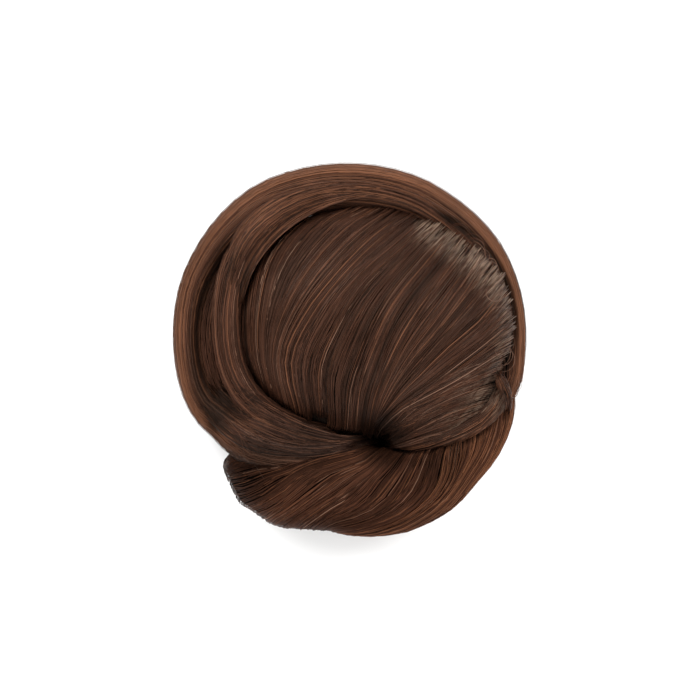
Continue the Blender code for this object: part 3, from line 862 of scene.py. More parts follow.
def tube_arrays(points, normals, width, tone, share):
    """Corners, faces and UVs of closed tubes that come to a point at both ends."""
    count, stations = points.shape[:2]
    tangent = unit(np.gradient(points, axis=1))
    side = unit(np.cross(tangent, normals))
    up = np.cross(side, tangent)
    turn = np.radians(90 + 360 / TUBE_SIDES * np.arange(TUBE_SIDES))[:, None]
    taper = np.sin(math.pi * np.linspace(0, 1, stations)[1:-1]) ** 0.25
    half = (width[:, None] / 2 * taper)[..., None, None]
    offset = np.cos(turn) * side[:, 1:-1, None] + TUBE_FLATNESS * np.sin(turn) * up[:, 1:-1, None]
    rings = points[:, 1:-1, None] + half * offset
    corners = np.concatenate((points[:, :1], rings.reshape(count, -1, 3), points[:, -1:]), 1)

    first = np.arange(count)[:, None, None] * corners.shape[1]
    ring = 1 + TUBE_SIDES * np.arange(stations - 3)[:, None]
    here = np.arange(TUBE_SIDES)
    after = (here + 1) % TUBE_SIDES
    ahead = ring + TUBE_SIDES
    quads = np.stack((ring + here, ahead + here, ahead + after, ring + after), -1)
    quads = (first[..., None] + quads[None]).reshape(-1, 4)
    last = corners.shape[1] - 1
    last_ring = last - TUBE_SIDES
    start_tips = np.stack((0 * here, 1 + here, 1 + after), -1)
    end_tips = np.stack((0 * here + last, last_ring + after, last_ring + here), -1)
    tips = (first + np.concatenate((start_tips, end_tips))).reshape(-1, 3)

    cell = tone[:, None, None] + CELL_WIDTH / TUBE_SIDES * here
    next_cell = cell + CELL_WIDTH / TUBE_SIDES
    behind, before = share[:, 1:-2, None] + 0 * cell, share[:, 2:-1, None] + 0 * cell
    cell, next_cell = cell + 0 * behind, next_cell + 0 * behind
    quad_uvs = np.stack(
        (
            np.stack((cell, behind), -1),
            np.stack((cell, before), -1),
            np.stack((next_cell, before), -1),
            np.stack((next_cell, behind), -1),
        ),
        -2,
    ).reshape(-1, 4, 2)
    left, right = cell[:, 0], next_cell[:, 0]
    middle = (left + right) / 2
    ends = [share[:, i, None] + 0 * left for i in (0, 1, -2, -1)]
    start_uvs = np.stack((middle, ends[0], left, ends[1], right, ends[1]), -1)
    end_uvs = np.stack((middle, ends[3], right, ends[2], left, ends[2]), -1)
    tip_uvs = np.concatenate((start_uvs, end_uvs), 1).reshape(-1, 3, 2)
    return corners.reshape(-1, 3), quads, tips, quad_uvs, tip_uvs


def grow(hair, strands, tree=None, node=None):
    """Tube arrays of all strands, each kept to its longest stretch that shows."""
    everyone = np.arange(len(strands.tone))
    probes = np.linspace(0, 1, PROBES)
    points, _ = strands.at(everyone, np.tile(probes, (len(everyone), 1)))
    stretches = open_stretches(points, tree) if tree else np.tile((0, PROBES - 1), (len(everyone), 1))
    start, end = probes[stretches[:, 0]], probes[np.maximum(stretches[:, 1], 0)]
    steps = np.linalg.norm(np.diff(points, axis=1), axis=2)
    run = np.concatenate((np.zeros((len(steps), 1)), np.cumsum(steps, 1)), 1)
    length = run[everyone, np.maximum(stretches[:, 1], 0)] - run[everyone, stretches[:, 0]]
    wanted = length / hair.strand_step
    pale = (strands.tone > PALE_TONES[0] - 0.01) & (strands.tone < PALE_TONES[1] + 0.01)
    widths = strands.width * np.where(pale, 0.75, 1)
    batches = []
    for low, stations in zip((0, *STATION_COUNTS), STATION_COUNTS):
        top = np.inf if stations == STATION_COUNTS[-1] else stations
        picked = everyone[(wanted > max(low, 1)) & (wanted <= top) & (end > start)]
        if not len(picked):
            continue
        steps = np.linspace(0, 1, stations)
        share = start[picked, None] + (end - start)[picked, None] * steps
        points, normals = strands.at(picked, share)
        points = eased(points, node)
        batches.append(tube_arrays(points, normals, widths[picked], strands.tone[picked], share))
    return batches


def mesh_from(name, batches):
    """One mesh from batches of tube arrays, with its UV map."""
    corners = np.concatenate([batch[0] for batch in batches])
    firsts = np.cumsum([0, *(len(batch[0]) for batch in batches[:-1])])
    quads = np.concatenate([batch[1] + first for batch, first in zip(batches, firsts)])
    tips = np.concatenate([batch[2] + first for batch, first in zip(batches, firsts)])
    loops = np.concatenate((quads.ravel(), tips.ravel()))
    uvs = np.concatenate([batch[part].ravel() for part in (3, 4) for batch in batches])
    sizes = np.concatenate((np.full(len(quads), 4), np.full(len(tips), 3)))
    mesh = bpy.data.meshes.new(name)
    mesh.vertices.add(len(corners))
    mesh.vertices.foreach_set("co", corners.ravel())
    mesh.loops.add(len(loops))
    mesh.loops.foreach_set("vertex_index", loops)
    mesh.polygons.add(len(sizes))
    mesh.polygons.foreach_set("loop_start", np.concatenate(((0,), np.cumsum(sizes)[:-1])))
    mesh.update(calc_edges=True)
    mesh.uv_layers.new(name=UV_NAME).data.foreach_set("uv", uvs)
    mesh.shade_smooth()
    return mesh


def under_layer(node):
    """A node's solid as a smooth dark layer a little below its surface, with its UV map."""
    bm = bmesh.new()
    bm.from_mesh(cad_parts[node].data)
    bmesh.ops.remove_doubles(bm, verts=bm.verts[:], dist=0.00001)
    mesh = bpy.data.meshes.new(node + "_under")
    bm.to_mesh(mesh)
    bm.free()
    rough = bpy.data.objects.new(node + "_under", mesh)
    bpy.context.scene.collection.objects.link(rough)
    remesh = rough.modifiers.new("Voxels", "REMESH")
    remesh.mode = "VOXEL"
    remesh.voxel_size = UNDER_VOXEL
    bpy.context.view_layer.update()
    bm = bmesh.new()
    bm.from_object(rough, bpy.context.evaluated_depsgraph_get())
    bpy.data.objects.remove(rough)
    for _ in range(3):
        bmesh.ops.smooth_vert(
            bm, verts=bm.verts[:], factor=0.5, use_axis_x=True, use_axis_y=True, use_axis_z=True
        )
    bm.normal_update()
    depth = UNDER_DEPTHS.get(node, UNDER_DEPTH)
    places = np.array([vertex.co - vertex.normal * depth for vertex in bm.verts])
    if node == OUTER_WRAP.node:
        places[:, 2] -= hollow(places)
    for vertex, place in zip(bm.verts, eased(places, node)):
        vertex.co = place
        vertex.co.z = max(vertex.co.z, 0.0002)
    low, high = UNDER_TONES
    uv_layer = bm.loops.layers.uv.new(UV_NAME)
    for face in bm.faces:
        face.smooth = True
        for loop in face.loops:
            place = loop.vert.co
            turn = (math.atan2(place.y, place.x) / math.tau) % 1
            loop[uv_layer].uv = (low + (high - low) * turn, place.z / BUN_HEIGHT)
    return bm


def hair_piece(name, node, strands, material, layered=True, laid=()):
    """A finished lock: strands, with their under layer or without, that stand for a solid."""
    hair = bpy.context.scene.top_knot_hair
    others = [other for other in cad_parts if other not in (node, "comb")]
    batches = grow(hair, strands, tree_of(others), node)
    for sheet in laid:
        batches += grow(hair, sheet)
    bm = under_layer(node) if layered else bmesh.new()
    return finish_piece(with_strands(bm, batches), name, material, (node,))


def with_strands(bm, batches):
    """A bmesh with tube arrays joined to it."""
    strands = mesh_from("strands", batches)
    bm.from_mesh(strands)
    bpy.data.meshes.remove(strands)
    return bm


def finish_piece(bm, name, material, replaced=()):
    """An object in the scene from a bmesh: its material, the body it rides on, and the parts it
    replaces hidden.
    """
    mesh = bpy.data.meshes.new(name)
    bm.to_mesh(mesh)
    bm.free()
    mesh.materials.append(material)
    piece = bpy.data.objects.new(name, mesh)
    bpy.context.scene.collection.objects.link(piece)
    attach(piece, "root")
    if replaced:
        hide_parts(*replaced)
    return piece


# Materials


class Value:
    """A shader socket that Python's operators work on, each adding its Math node."""

    def __init__(self, shader, socket):
        self.shader = shader
        self.socket = socket

    def joined(self, operation, first, second):
        return self.shader.node("ShaderNodeMath", {"operation": operation}, {0: first, 1: second})

    def clamped(self):
        return self.at_least(0.0).at_most(1.0)

    def at_least(self, other):
        return self.joined("MAXIMUM", self, other)

    def at_most(self, other):
        return self.joined("MINIMUM", self, other)

    def out(self, name):
        """Another output of the same node."""
        return Value(self.shader, self.socket.node.outputs[name])


def overload(operator, operation):
    """Gives Value one of Python's operators, and its reflected form."""

    def plain(self, other):
        return self.joined(operation, self, other)

    def reflected(self, other):
        return self.joined(operation, other, self)

    setattr(Value, f"__{operator}__", plain)
    setattr(Value, f"__r{operator}__", reflected)


overload("add", "ADD")
overload("sub", "SUBTRACT")
overload("mul", "MULTIPLY")
overload("truediv", "DIVIDE")
overload("pow", "POWER")


class Shader:
    """A Principled material under construction."""

    def __init__(self, name):
        self.material = bpy.data.materials.new(name)
        self.material.use_nodes = True
        self.tree = self.material.node_tree
        self.surface = self.tree.nodes["Principled BSDF"]

    def node(self, kind, settings=None, sockets=None, output=0):
        """Any node: its settings first, then the values or links of its sockets."""
        node = self.tree.nodes.new(kind)
        for name, setting in (settings or {}).items():
            if name == "stops":
                self.set_stops(node.color_ramp, setting)
            else:
                setattr(node, name, setting)
        for name, value in (sockets or {}).items():
            self.feed(node.inputs[name], value)
        return Value(self, node.outputs[output])

    def feed(self, socket, value):
        if isinstance(value, Value):
            self.tree.links.new(value.socket, socket)
        elif socket.type == "RGBA" and len(value) == 3:
            socket.default_value = (*value, 1.0)
        else:
            socket.default_value = value

    @staticmethod
    def set_stops(ramp, stops):
        while len(ramp.elements) < len(stops):
            ramp.elements.new(1.0)
        for element, (position, colour) in zip(ramp.elements, stops):
            element.position = position
            element.color = (*colour, 1.0)

    def set(self, **inputs):
        """Feeds the Principled shader: base_color=... sets its Base Color."""
        for name, value in inputs.items():
            self.feed(self.surface.inputs[name.replace("_", " ").title()], value)

    def mix(self, share, first, second):
        sockets = {"Factor": share, "A": first, "B": second}
        node = self.tree.nodes.new("ShaderNodeMix")
        node.data_type = "RGBA"
        for name, value in sockets.items():
            kind = "VALUE" if name == "Factor" else "RGBA"
            self.feed(next(s for s in node.inputs if s.name == name and s.type == kind), value)
        return Value(self, next(s for s in node.outputs if s.type == "RGBA"))

    def scaled(self, colour, share):
        """A colour times a number."""
        sockets = {0: colour, "Scale": share}
        return self.node("ShaderNodeVectorMath", {"operation": "SCALE"}, sockets)

    def bump(self, height, distance, strength=1.0):
        node = self.node(
            "ShaderNodeBump", {}, {"Height": height, "Distance": distance, "Strength": strength}
        )
        self.set(normal=node)


def hair_material(name, length, level=1.0, roots=None, hollowed=False, gloss=HAIR_GLOSS):
    """Hair that reads its tone across the UV map.

    Length is a strand's, and level is a share of the settings' colours. Roots get a painted
    greyish sheen, a lighter colour that stands in for the highlight where the hair bends over:
    "start" is the first stretch of every strand, "line" what lies near the dome's root line.
    Hollowed hair is shaded in the wrap's hollows and cooler at its tail.
    """
    hair = bpy.context.scene.top_knot_hair
    shader = Shader(name)
    place = shader.node("ShaderNodeUVMap", {"uv_map": UV_NAME})
    split = shader.node("ShaderNodeSeparateXYZ", {}, {"Vector": place})
    tone, along = split.out("X"), split.out("Y")
    is_strand = ((tone - 0.09) * 100).clamped()
    stops = (
        (0.0, hair.under),
        (UNDER_TONES[1] + 0.01, hair.under),
        (PLAIN_TONES[0] - 0.01, hair.dark),
        (0.40, hair.middle),
        (PLAIN_TONES[1], hair.light),
        (PALE_TONES[1], hair.pale),
        (WARM_TONES[0] - 0.03, hair.warm_dark),
        (1.0, hair.warm_light),
    )
    colour = shader.node("ShaderNodeValToRGB", {"stops": stops}, {"Fac": tone})
    spot = shader.node("ShaderNodeTexCoord", output="Object")
    axes = shader.node("ShaderNodeSeparateXYZ", {}, {"Vector": spot})
    x, y = axes.out("X"), axes.out("Y")
    grain = shader.node("ShaderNodeCombineXYZ", {}, {"X": tone * 700.0, "Y": along * 3.0})
    patches = shader.node("ShaderNodeTexNoise", {}, {"Vector": grain, "Scale": 1.0, "Detail": 0.0})
    # Painted sheen at the roots: the root colour mixed in near the dome's root line or over a strand's
    # first stretch, in patches by tuft
    if roots == "line":
        reach, inside = plan_window(x, y, DOME_CENTRE, DOME_SIZE, 20, 0.60)
        wide = plan_window(x, y, DOME_CENTRE, DOME_SIZE, 60, 0.50, 0.45)[1]
        share = (reach - (1.06 - wide * 0.14 - patches * 0.40)) / 0.17
        share = share.clamped() * inside * (0.60 + wide * 0.66)
    elif roots == "start":
        share = ((0.30 - along) / 0.2).clamped() * (patches * 3.0 - 1.0).clamped()
    if roots:
        stripe = shader.node("ShaderNodeCombineXYZ", {}, {"X": (x - y) * 700.0, "Y": (x + y) * 150.0})
        tufts = shader.node("ShaderNodeTexNoise", {}, {"Vector": stripe, "Scale": 1.0, "Detail": 1.0})
        share = share * (tufts * 5.0 - 1.7).clamped() * (patches * 3.4 - 0.8).clamped() * is_strand
        colour = shader.mix(share * 0.92, colour, tuple(hair.root))
    # Random mottle in the hair's tone (cloud), times a painted gleam: lighter and darker stretches
    # along each strand that stand in for its highlights
    cloud = shader.node("ShaderNodeTexNoise", {}, {"Vector": spot, "Scale": 70.0, "Detail": 2.0})
    sockets = {"X": tone * 900.0, "Y": along * (length / GLEAM_LENGTH)}
    strand = shader.node("ShaderNodeCombineXYZ", {}, sockets)
    gleam = shader.node("ShaderNodeTexNoise", {}, {"Vector": strand, "Scale": 1.0, "Detail": 1.0})
    light = (0.72 + cloud * 0.56) * (0.55 + gleam * 0.9) * level
    for (middle_x, middle_y), radius, floor in SHADES:
        away = ((x - middle_x) ** 2 + (y - middle_y) ** 2) ** 0.5
        light = light * (floor + (away / radius).clamped() ** 2 * (1 - floor))
    if hollowed:
        light = light * hollow_shade(x, y)
        tail = ((x + 0.048) / 0.010).clamped() * ((-0.018 - y) / 0.012).clamped()
        sockets = {0: colour, 1: TAIL_TINT}
        cooler = shader.node("ShaderNodeVectorMath", {"operation": "MULTIPLY"}, sockets)
        colour = shader.mix(tail, colour, cooler)
    colour = shader.scaled(colour, light)
    shader.set(base_color=colour, roughness=0.95 - is_strand * (0.95 - hair.roughness))
    shader.surface.inputs["Specular IOR Level"].default_value = gloss
    shader.surface.inputs["Specular Tint"].default_value = GLOSS_TINT
    return shader.material


def plan_window(x, y, middle, half, direction, edge, soft=0.08):
    """In a shader: how far a place lies out, and whether it lies in this direction."""
    across, along = (x - middle[0]) / half[0], (y - middle[1]) / half[1]
    reach = (across**2 + along**2) ** 0.5
    aim = math.radians(direction)
    cosine = (across * math.cos(aim) + along * math.sin(aim)) / reach
    return reach, ((cosine - edge) / soft).clamped()


def hollow_shade(x, y):
    """In a shader: the shade in the wrap's hollows, from 1 in the light to dark."""
    reach, inside = plan_window(x, y, DOME_CENTRE, DOME_SIZE, *ROOT_GROOVE[:2])
    groove = (1 - ((reach - 1.005) / 0.045) ** 2).clamped() * inside
    reach, inside = plan_window(x, y, BUN_AXIS, HALF_PLAN, *LEFT_VALLEY[:2])
    valley = ((VALLEY_EDGE - reach) / 0.05).clamped() * inside
    return (1 - groove * 0.75) * (1 - valley * 0.6)


def net_material():
    """Stretch net: yarns crossing at a slant, with dark holes between."""
    cap = bpy.context.scene.top_knot_cap
    shader = Shader("stretch_net")
    place = shader.node("ShaderNodeTexCoord", output="Object")
    split = shader.node("ShaderNodeSeparateXYZ", {}, {"Vector": place})
    x, y, z = split.out("X"), split.out("Y"), split.out("Z")
    pitch = math.tau / cap.net_pitch
    slant = x + y + z * 0.7
    counter = x - y + z * 0.7
    waves = [
        shader.node("ShaderNodeMath", {"operation": "SINE"}, {0: course * pitch / math.sqrt(2)})
        for course in (slant, counter)
    ]
    yarn = waves[0].at_least(waves[1]) * 0.5 + 0.5
    colour = shader.mix(yarn**2, tuple(0.35 * c for c in cap.net_colour), tuple(cap.thread_colour))
    shader.set(base_color=colour, roughness=0.85)
    shader.bump(yarn, 0.0004)
    return shader.material


def elastic_material():
    """Elastic rim: fine upright cords with a soft, dull face."""
    cap = bpy.context.scene.top_knot_cap
    shader = Shader("elastic_rim")
    place = shader.node("ShaderNodeTexCoord", output="Object")
    grain = shader.node("ShaderNodeTexNoise", {}, {"Vector": place, "Scale": 1400.0, "Detail": 3.0})
    dark, light = (tuple(share * c for c in cap.net_colour) for share in (0.7, 1.2))
    colour = shader.mix(grain, dark, light)
    shader.set(base_color=colour, roughness=0.8)
    shader.bump(grain, 0.0003)
    return shader.material


def comb_material():
    """Moulded plastic with a faint mottle in its shine."""
    cap = bpy.context.scene.top_knot_cap
    shader = Shader("comb_plastic")
    place = shader.node("ShaderNodeTexCoord", output="Object")
    cloud = shader.node("ShaderNodeTexNoise", {}, {"Vector": place, "Scale": 260.0, "Detail": 2.0})
    colour = shader.mix(cloud, tuple(cap.comb_colour), tuple(1.6 * c for c in cap.comb_colour))
    shader.set(base_color=colour, roughness=0.28 + cloud * 0.14)
    shader.bump(cloud, 0.0001, 0.3)
    return shader.material


# Hair pieces


class TOPKNOT_OT_crown(Operator):
    """Dress the dome: hair that sweeps from the root line to the twist"""

    bl_idname = "topknot.crown"
    bl_label = "Crown sweep"

    def execute(self, context):
        strands = crown_strands(context.scene.top_knot_hair, 1850, 11)
        material = hair_material("hair_crown", 0.10, 0.94, "line")
        hair_piece("crown_hair", "crown_sweep", strands, material)
        return {"FINISHED"}


class TOPKNOT_OT_roots(Operator):
    """Set short hairs along the root line, where the crown's hair bends over"""

    bl_idname = "topknot.roots"
    bl_label = "Roots"

    def execute(self, context):
        strands = crown_strands(context.scene.top_knot_hair, 1100, 18, True)
        material = hair_material("hair_roots", 0.03, 0.94, "line")
        hair_piece("root_hair", "crown_sweep", strands, material, False)
        return {"FINISHED"}


class TOPKNOT_OT_loose(Operator):
    """Let single hairs fly away at the root line and over the tail"""

    bl_idname = "topknot.loose"
    bl_label = "Loose hairs"

    def execute(self, context):
        bm = with_strands(bmesh.new(), loose_strands(context.scene.top_knot_hair, 19))
        finish_piece(bm, "loose_hair", hair_material("hair_loose", 0.02))
        return {"FINISHED"}


class TOPKNOT_OT_joining(Operator):
    """Lay hair over the creases where the wrap parts at the top and gathers at the tail"""

    bl_idname = "topknot.joining"
    bl_label = "Joining hair"

    def execute(self, context):
        hair = context.scene.top_knot_hair
        split = laid_strands(hair, SPLIT_GUIDES, 480, 0.45, 20)
        tail = laid_strands(hair, TAIL_GUIDES, 460, 0.15, 21)
        bm = with_strands(bmesh.new(), grow(hair, split) + grow(hair, tail))
        material = hair_material("hair_joining", 0.07, hollowed=True)
        finish_piece(bm, "joining_hair", material)
        return {"FINISHED"}


class TOPKNOT_OT_lip(Operator):
    """Dress the rolled lip at the right of the twist"""

    bl_idname = "topknot.lip"
    bl_label = "Knot lip"

    def execute(self, context):
        hair = context.scene.top_knot_hair
        growth = Growth(480, -60, 72, 0.8, 18, 30, 0.10, 0.03, 0.08, 0.04, True)
        strands = lock_strands(hair, KNOT_LIP, growth, 12)
        over = laid_strands(hair, LIP_GUIDES, 560, 0.06, 22)
        material = hair_material("hair_lip", 0.05, 0.87, "start")
        hair_piece("lip_hair", "knot_lip", strands, material, laid=(over,))
        return {"FINISHED"}


class TOPKNOT_OT_wrap(Operator):
    """Dress the lock round the rim and its tail"""

    bl_idname = "topknot.wrap"
    bl_label = "Outer wrap"

    def execute(self, context):
        growth = Growth(760, 6, 165, 0.30, 30, 18, 0.16, 0.05, 0.70, 0.03, False)
        strands = lock_strands(context.scene.top_knot_hair, OUTER_WRAP, growth, 13)
        material = hair_material("hair_wrap", 0.30, 0.94, hollowed=True)
        hair_piece("wrap_hair", "outer_wrap", strands, material)
        return {"FINISHED"}


class TOPKNOT_OT_side(Operator):
    """Dress the side of the lock round the rim, below its shoulder"""

    bl_idname = "topknot.side"
    bl_label = "Wrap's side"

    def execute(self, context):
        growth = Growth(640, -82, 20, 0.30, 26, 20, 0.20, 0.07, 0.60, 0.03, False)
        strands = lock_strands(context.scene.top_knot_hair, OUTER_WRAP, growth, 23)
        material = hair_material("hair_side", 0.30, hollowed=True)
        hair_piece("side_hair", "outer_wrap", strands, material, False)
        return {"FINISHED"}


class TOPKNOT_OT_inner(Operator):
    """Dress the bright ridge between wrap and dome"""

    bl_idname = "topknot.inner"
    bl_label = "Inner lock"

    def execute(self, context):
        growth = Growth(600, -35, 218, 0.5, 22, 14, 0.16, 0.06, 0.12, 0.04, False)
        strands = lock_strands(context.scene.top_knot_hair, INNER_LOCK, growth, 14)
        material = hair_material("hair_inner", 0.12, 1.08)
        hair_piece("inner_hair", "inner_lock", strands, material)
        return {"FINISHED"}


class TOPKNOT_OT_under(Operator):
    """Dress the dark layer in the valley at the left"""

    bl_idname = "topknot.under"
    bl_label = "Under lock"

    def execute(self, context):
        growth = Growth(520, -85, 150, 0.5, 22, 10, 0.12, 0.04, 0.05, 0.01, False)
        strands = lock_strands(context.scene.top_knot_hair, UNDER_LOCK, growth, 15)
        hair_piece("under_hair", "under_lock", strands, hair_material("hair_under", 0.10))
        return {"FINISHED"}


class TOPKNOT_OT_roll(Operator):
    """Dress the fan-shaped roll under the twist"""

    bl_idname = "topknot.roll"
    bl_label = "Bottom roll"

    def execute(self, context):
        strands = roll_strands(context.scene.top_knot_hair, 2300, 16)
        material = hair_material("hair_roll", 0.09, 0.97, gloss=0.03)
        hair_piece("roll_hair", "bottom_roll", strands, material)
        return {"FINISHED"}


class TOPKNOT_OT_tuck(Operator):
    """Dress the thin lock that crosses the rim"""

    bl_idname = "topknot.tuck"
    bl_label = "Tuck lock"

    def execute(self, context):
        growth = Growth(260, -180, 180, 0.6, 8, 40, 0.25, 0.12, 0.35, 0.08, False)
        slim = TUCK_LOCK._replace(width=0.0034, height=0.0040)
        strands = lock_strands(context.scene.top_knot_hair, slim, growth, 17)
        hair_piece("tuck_hair", "tuck_lock", strands, hair_material("hair_tuck", 0.03))
        return {"FINISHED"}


# Cap and comb

# How far the net stays inside the cap's solid, how far the rim rises over the net's edge, and
# how deep the rim's gathers are
CAP_MARGIN = 0.0003
RIM_OVERLAP = 0.0004
RIB_DEPTH = 0.00013


def full_spin(bm, geometry, steps):
    """Spins this geometry once round the upright axis."""
    bmesh.ops.spin(
        bm,
        geom=geometry,
        cent=(0, 0, 0),
        axis=(0, 0, 1),
        angle=math.tau,
        steps=steps,
        use_merge=True,
    )


def turned(bm, profile, steps):
    """Spins a closed profile of (radius, height) points round the upright axis."""
    corners = [bm.verts.new((radius, 0, height)) for radius, height in profile]
    edges = [bm.edges.new(pair) for pair in zip(corners, (*corners[1:], corners[0]))]
    full_spin(bm, corners + edges, steps)


class TOPKNOT_OT_cap(Operator):
    """Model the stretch cap: net shell, elastic rim and sewn weft tapes"""

    bl_idname = "topknot.cap"
    bl_label = "Stretch cap"

    def execute(self, context):
        cap = context.scene.top_knot_cap
        half = (CAP_HIGH[0] - CAP_LOW[0]) / 2
        stretch = (CAP_HIGH[1] - CAP_LOW[1]) / (CAP_HIGH[0] - CAP_LOW[0])
        rise = CAP_HIGH[2] - cap.rim_height
        wall = cap.net_wall

        def arch(depth, climb):
            """A point of the shell's half section, below its outer face."""
            reach = (half - CAP_MARGIN - depth) * math.cos(climb)
            return reach, cap.rim_height + (rise - CAP_MARGIN - depth) * math.sin(climb)

        def shaped(build, name, material):
            bm = bmesh.new()
            build(bm)
            bmesh.ops.remove_doubles(bm, verts=bm.verts[:], dist=0.00001)
            bmesh.ops.recalc_face_normals(bm, faces=bm.faces[:])
            bmesh.ops.scale(bm, vec=(1, stretch, 1), verts=bm.verts[:])
            bmesh.ops.translate(bm, vec=(*BUN_AXIS, 0), verts=bm.verts[:])
            for face in bm.faces:
                face.smooth = True
            return finish_piece(bm, name, material, ("base_cap",))

        def net(bm):
            climbs = np.linspace(0, math.radians(89.4), 16)
            outer = [arch(0, climb) for climb in climbs]
            inner = [arch(wall, climb) for climb in climbs[::-1]]
            turned(bm, outer + inner, 72)

        def rim(bm):
            thick, tall = cap.rim_wall, cap.rim_height
            edge = thick * 0.3
            profile = (
                (half - edge, 0.0),
                (half, edge),
                (half, tall - edge),
                (half - edge, tall + RIM_OVERLAP),
                (half - thick + edge, tall + RIM_OVERLAP),
                (half - thick, tall - edge),
                (half - thick, edge),
                (half - thick + edge, 0.0),
            )
            turned(bm, profile, cap.rib_count * 2)
            for vertex in bm.verts:
                turn = math.atan2(vertex.co.y, vertex.co.x)
                flat = vertex.co.z < 0.0001
                gather = 0 if flat else RIB_DEPTH * (math.cos(turn * cap.rib_count) - 1)
                outward = 1 if vertex.co.xy.length > half - thick / 2 else -1
                vertex.co.xy *= 1 + outward * gather / half

        def wefts(bm):
            for row in range(cap.weft_count):
                low = math.radians(14 + 60 * row / cap.weft_count)
                high = low + math.radians(5)
                corners = [arch(wall + 0.0001, low), arch(wall + 0.0001, high)]
                corners += [arch(wall + 0.0008, high), arch(wall + 0.0008, low)]
                turned(bm, corners, 72)

        shaped(net, "cap_net", net_material())
        shaped(rim, "cap_rim", elastic_material())
        shaped(wefts, "cap_wefts", elastic_material())
        return {"FINISHED"}


# The stitches that hold the comb: each is a ring of thread. The first turn stands its round
# section across the ring, and the second stands the flat ring upright.
STITCH_COUNT = 7
THREAD_RADIUS = 0.0003
STITCH_RADIUS = 0.0017
TILT_TO_SIDE = Vector((0, 0, 1)).rotation_difference(Vector((0, 1, 0))).to_matrix()
RING_UPRIGHT = Vector((0, 0, 1)).rotation_difference(Vector((1, 0, 0))).to_matrix()


class TOPKNOT_OT_comb(Operator):
    """Finish the comb and sew it to the rim"""

    bl_idname = "topknot.comb"
    bl_label = "Comb"

    def execute(self, context):
        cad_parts["comb"].data.materials.clear()
        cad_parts["comb"].data.materials.append(comb_material())
        low, high = (np.array(corner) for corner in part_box("comb"))
        bm = bmesh.new()
        for stitch in range(STITCH_COUNT):
            across = low[0] + (high[0] - low[0]) * (stitch + 0.5) / STITCH_COUNT
            thread = bmesh.new()
            ring = bmesh.ops.create_circle(thread, segments=8, radius=THREAD_RADIUS)["verts"]
            bmesh.ops.translate(thread, vec=(STITCH_RADIUS, 0, 0), verts=ring)
            bmesh.ops.rotate(thread, verts=ring, cent=(0, 0, 0), matrix=TILT_TO_SIDE)
            full_spin(thread, ring + thread.edges[:], 20)
            bmesh.ops.rotate(thread, verts=thread.verts[:], cent=(0, 0, 0), matrix=RING_UPRIGHT)
            middle = (across, high[1] - 0.0013, (low[2] + high[2]) / 2)
            bmesh.ops.translate(thread, vec=middle, verts=thread.verts[:])
            mesh = bpy.data.meshes.new("stitch")
            thread.to_mesh(mesh)
            thread.free()
            bm.from_mesh(mesh)
            bpy.data.meshes.remove(mesh)
        bmesh.ops.remove_doubles(bm, verts=bm.verts[:], dist=0.000001)
        bmesh.ops.recalc_face_normals(bm, faces=bm.faces[:])
        for face in bm.faces:
            face.smooth = True
        finish_piece(bm, "comb_stitches", elastic_material())
        return {"FINISHED"}


# Stage


def soft_light(name, place, size, power, aim=(0, 0, 0.03)):
    lamp = bpy.data.lights.new(name, "AREA")
    lamp.shape = "DISK"
    lamp.size = size
    lamp.energy = power
    holder = bpy.data.objects.new(name, lamp)
    holder.location = place
    holder.rotation_euler = (Vector(aim) - Vector(place)).to_track_quat("-Z", "Y").to_euler()
    bpy.context.scene.collection.objects.link(holder)
    return holder


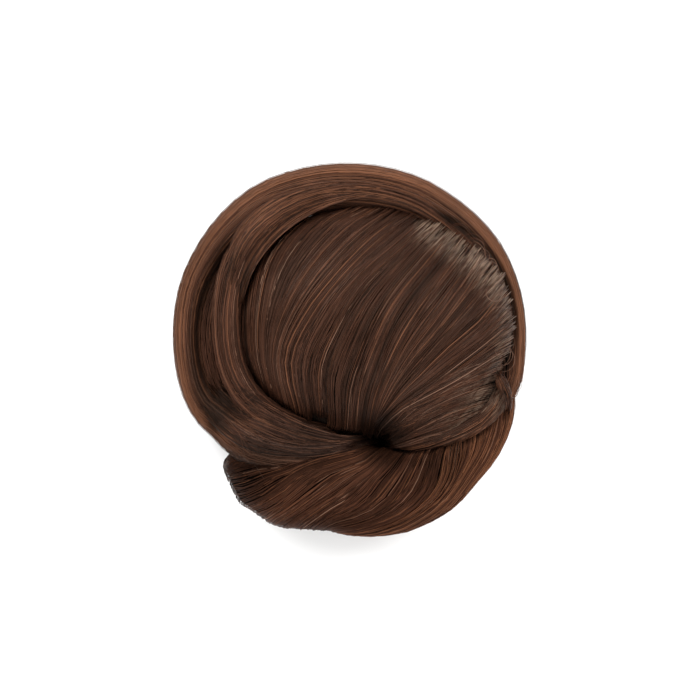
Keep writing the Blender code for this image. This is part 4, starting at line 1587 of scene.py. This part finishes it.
class TOPKNOT_OT_stage(Operator):
    """Set the pale floor, the soft lights and the camera that looks straight down"""

    bl_idname = "topknot.stage"
    bl_label = "Stage"

    def execute(self, context):
        stage = context.scene.top_knot_stage
        bm = bmesh.new()
        bmesh.ops.create_grid(bm, x_segments=1, y_segments=1, size=stage.floor_size / 2)
        mesh = bpy.data.meshes.new("floor")
        bm.to_mesh(mesh)
        bm.free()
        floor = bpy.data.objects.new("floor", mesh)
        context.scene.collection.objects.link(floor)
        paper = Shader("floor_paper")
        paper.set(base_color=tuple(stage.floor_colour), roughness=0.9)
        mesh.materials.append(paper.material)

        world = bpy.data.worlds.new("studio")
        world.use_nodes = True
        sky = world.node_tree.nodes["Background"]
        sky.inputs["Color"].default_value = (1.0, 1.0, 1.0, 1.0)
        sky.inputs["Strength"].default_value = stage.sky_strength
        context.scene.world = world

        power = stage.light_power
        soft_light("key", (-0.45, 0.65, 1.15), 1.0, power)
        soft_light("fill", (0.8, 0.5, 0.8), 0.6, power * 0.55)
        soft_light("low", (0.2, -0.9, 1.0), 0.9, power * 0.5)

        lens = bpy.data.cameras.new("camera")
        lens.lens = stage.lens
        lens.sensor_width = 36
        camera = bpy.data.objects.new("camera", lens)
        camera.location = (0, 0, stage.camera_distance)
        context.scene.collection.objects.link(camera)
        context.scene.camera = camera
        context.scene.view_settings.view_transform = "Standard"
        return {"FINISHED"}


class TOPKNOT_PT_panel(Panel):
    """Lists the settings and the pieces"""

    bl_idname = "TOPKNOT_PT_panel"
    bl_label = "Top knot"
    bl_space_type = "VIEW_3D"
    bl_region_type = "UI"
    bl_category = "Top knot"

    def draw(self, context):
        for operator in PIECES:
            self.layout.operator(operator.bl_idname)
        for group in ("top_knot_hair", "top_knot_cap", "top_knot_stage"):
            settings = getattr(context.scene, group)
            for name in settings.__annotations__:
                self.layout.prop(settings, name)


SETTINGS = {
    "top_knot_hair": TopKnotHair,
    "top_knot_cap": TopKnotCap,
    "top_knot_stage": TopKnotStage,
}
PIECES = (
    TOPKNOT_OT_stage,
    TOPKNOT_OT_crown,
    TOPKNOT_OT_roots,
    TOPKNOT_OT_loose,
    TOPKNOT_OT_joining,
    TOPKNOT_OT_lip,
    TOPKNOT_OT_wrap,
    TOPKNOT_OT_side,
    TOPKNOT_OT_inner,
    TOPKNOT_OT_under,
    TOPKNOT_OT_roll,
    TOPKNOT_OT_tuck,
    TOPKNOT_OT_cap,
    TOPKNOT_OT_comb,
)


def register():
    for group in (*SETTINGS.values(), *PIECES, TOPKNOT_PT_panel):
        bpy.utils.register_class(group)
    for name, group in SETTINGS.items():
        setattr(bpy.types.Scene, name, PointerProperty(type=group))


def unregister():
    for name in SETTINGS:
        delattr(bpy.types.Scene, name)
    for group in reversed((*SETTINGS.values(), *PIECES, TOPKNOT_PT_panel)):
        bpy.utils.unregister_class(group)


def main():
    register()
    for operator in PIECES:
        group, name = operator.bl_idname.split(".")
        getattr(getattr(bpy.ops, group), name)()


if __name__ == "__main__":
    main()
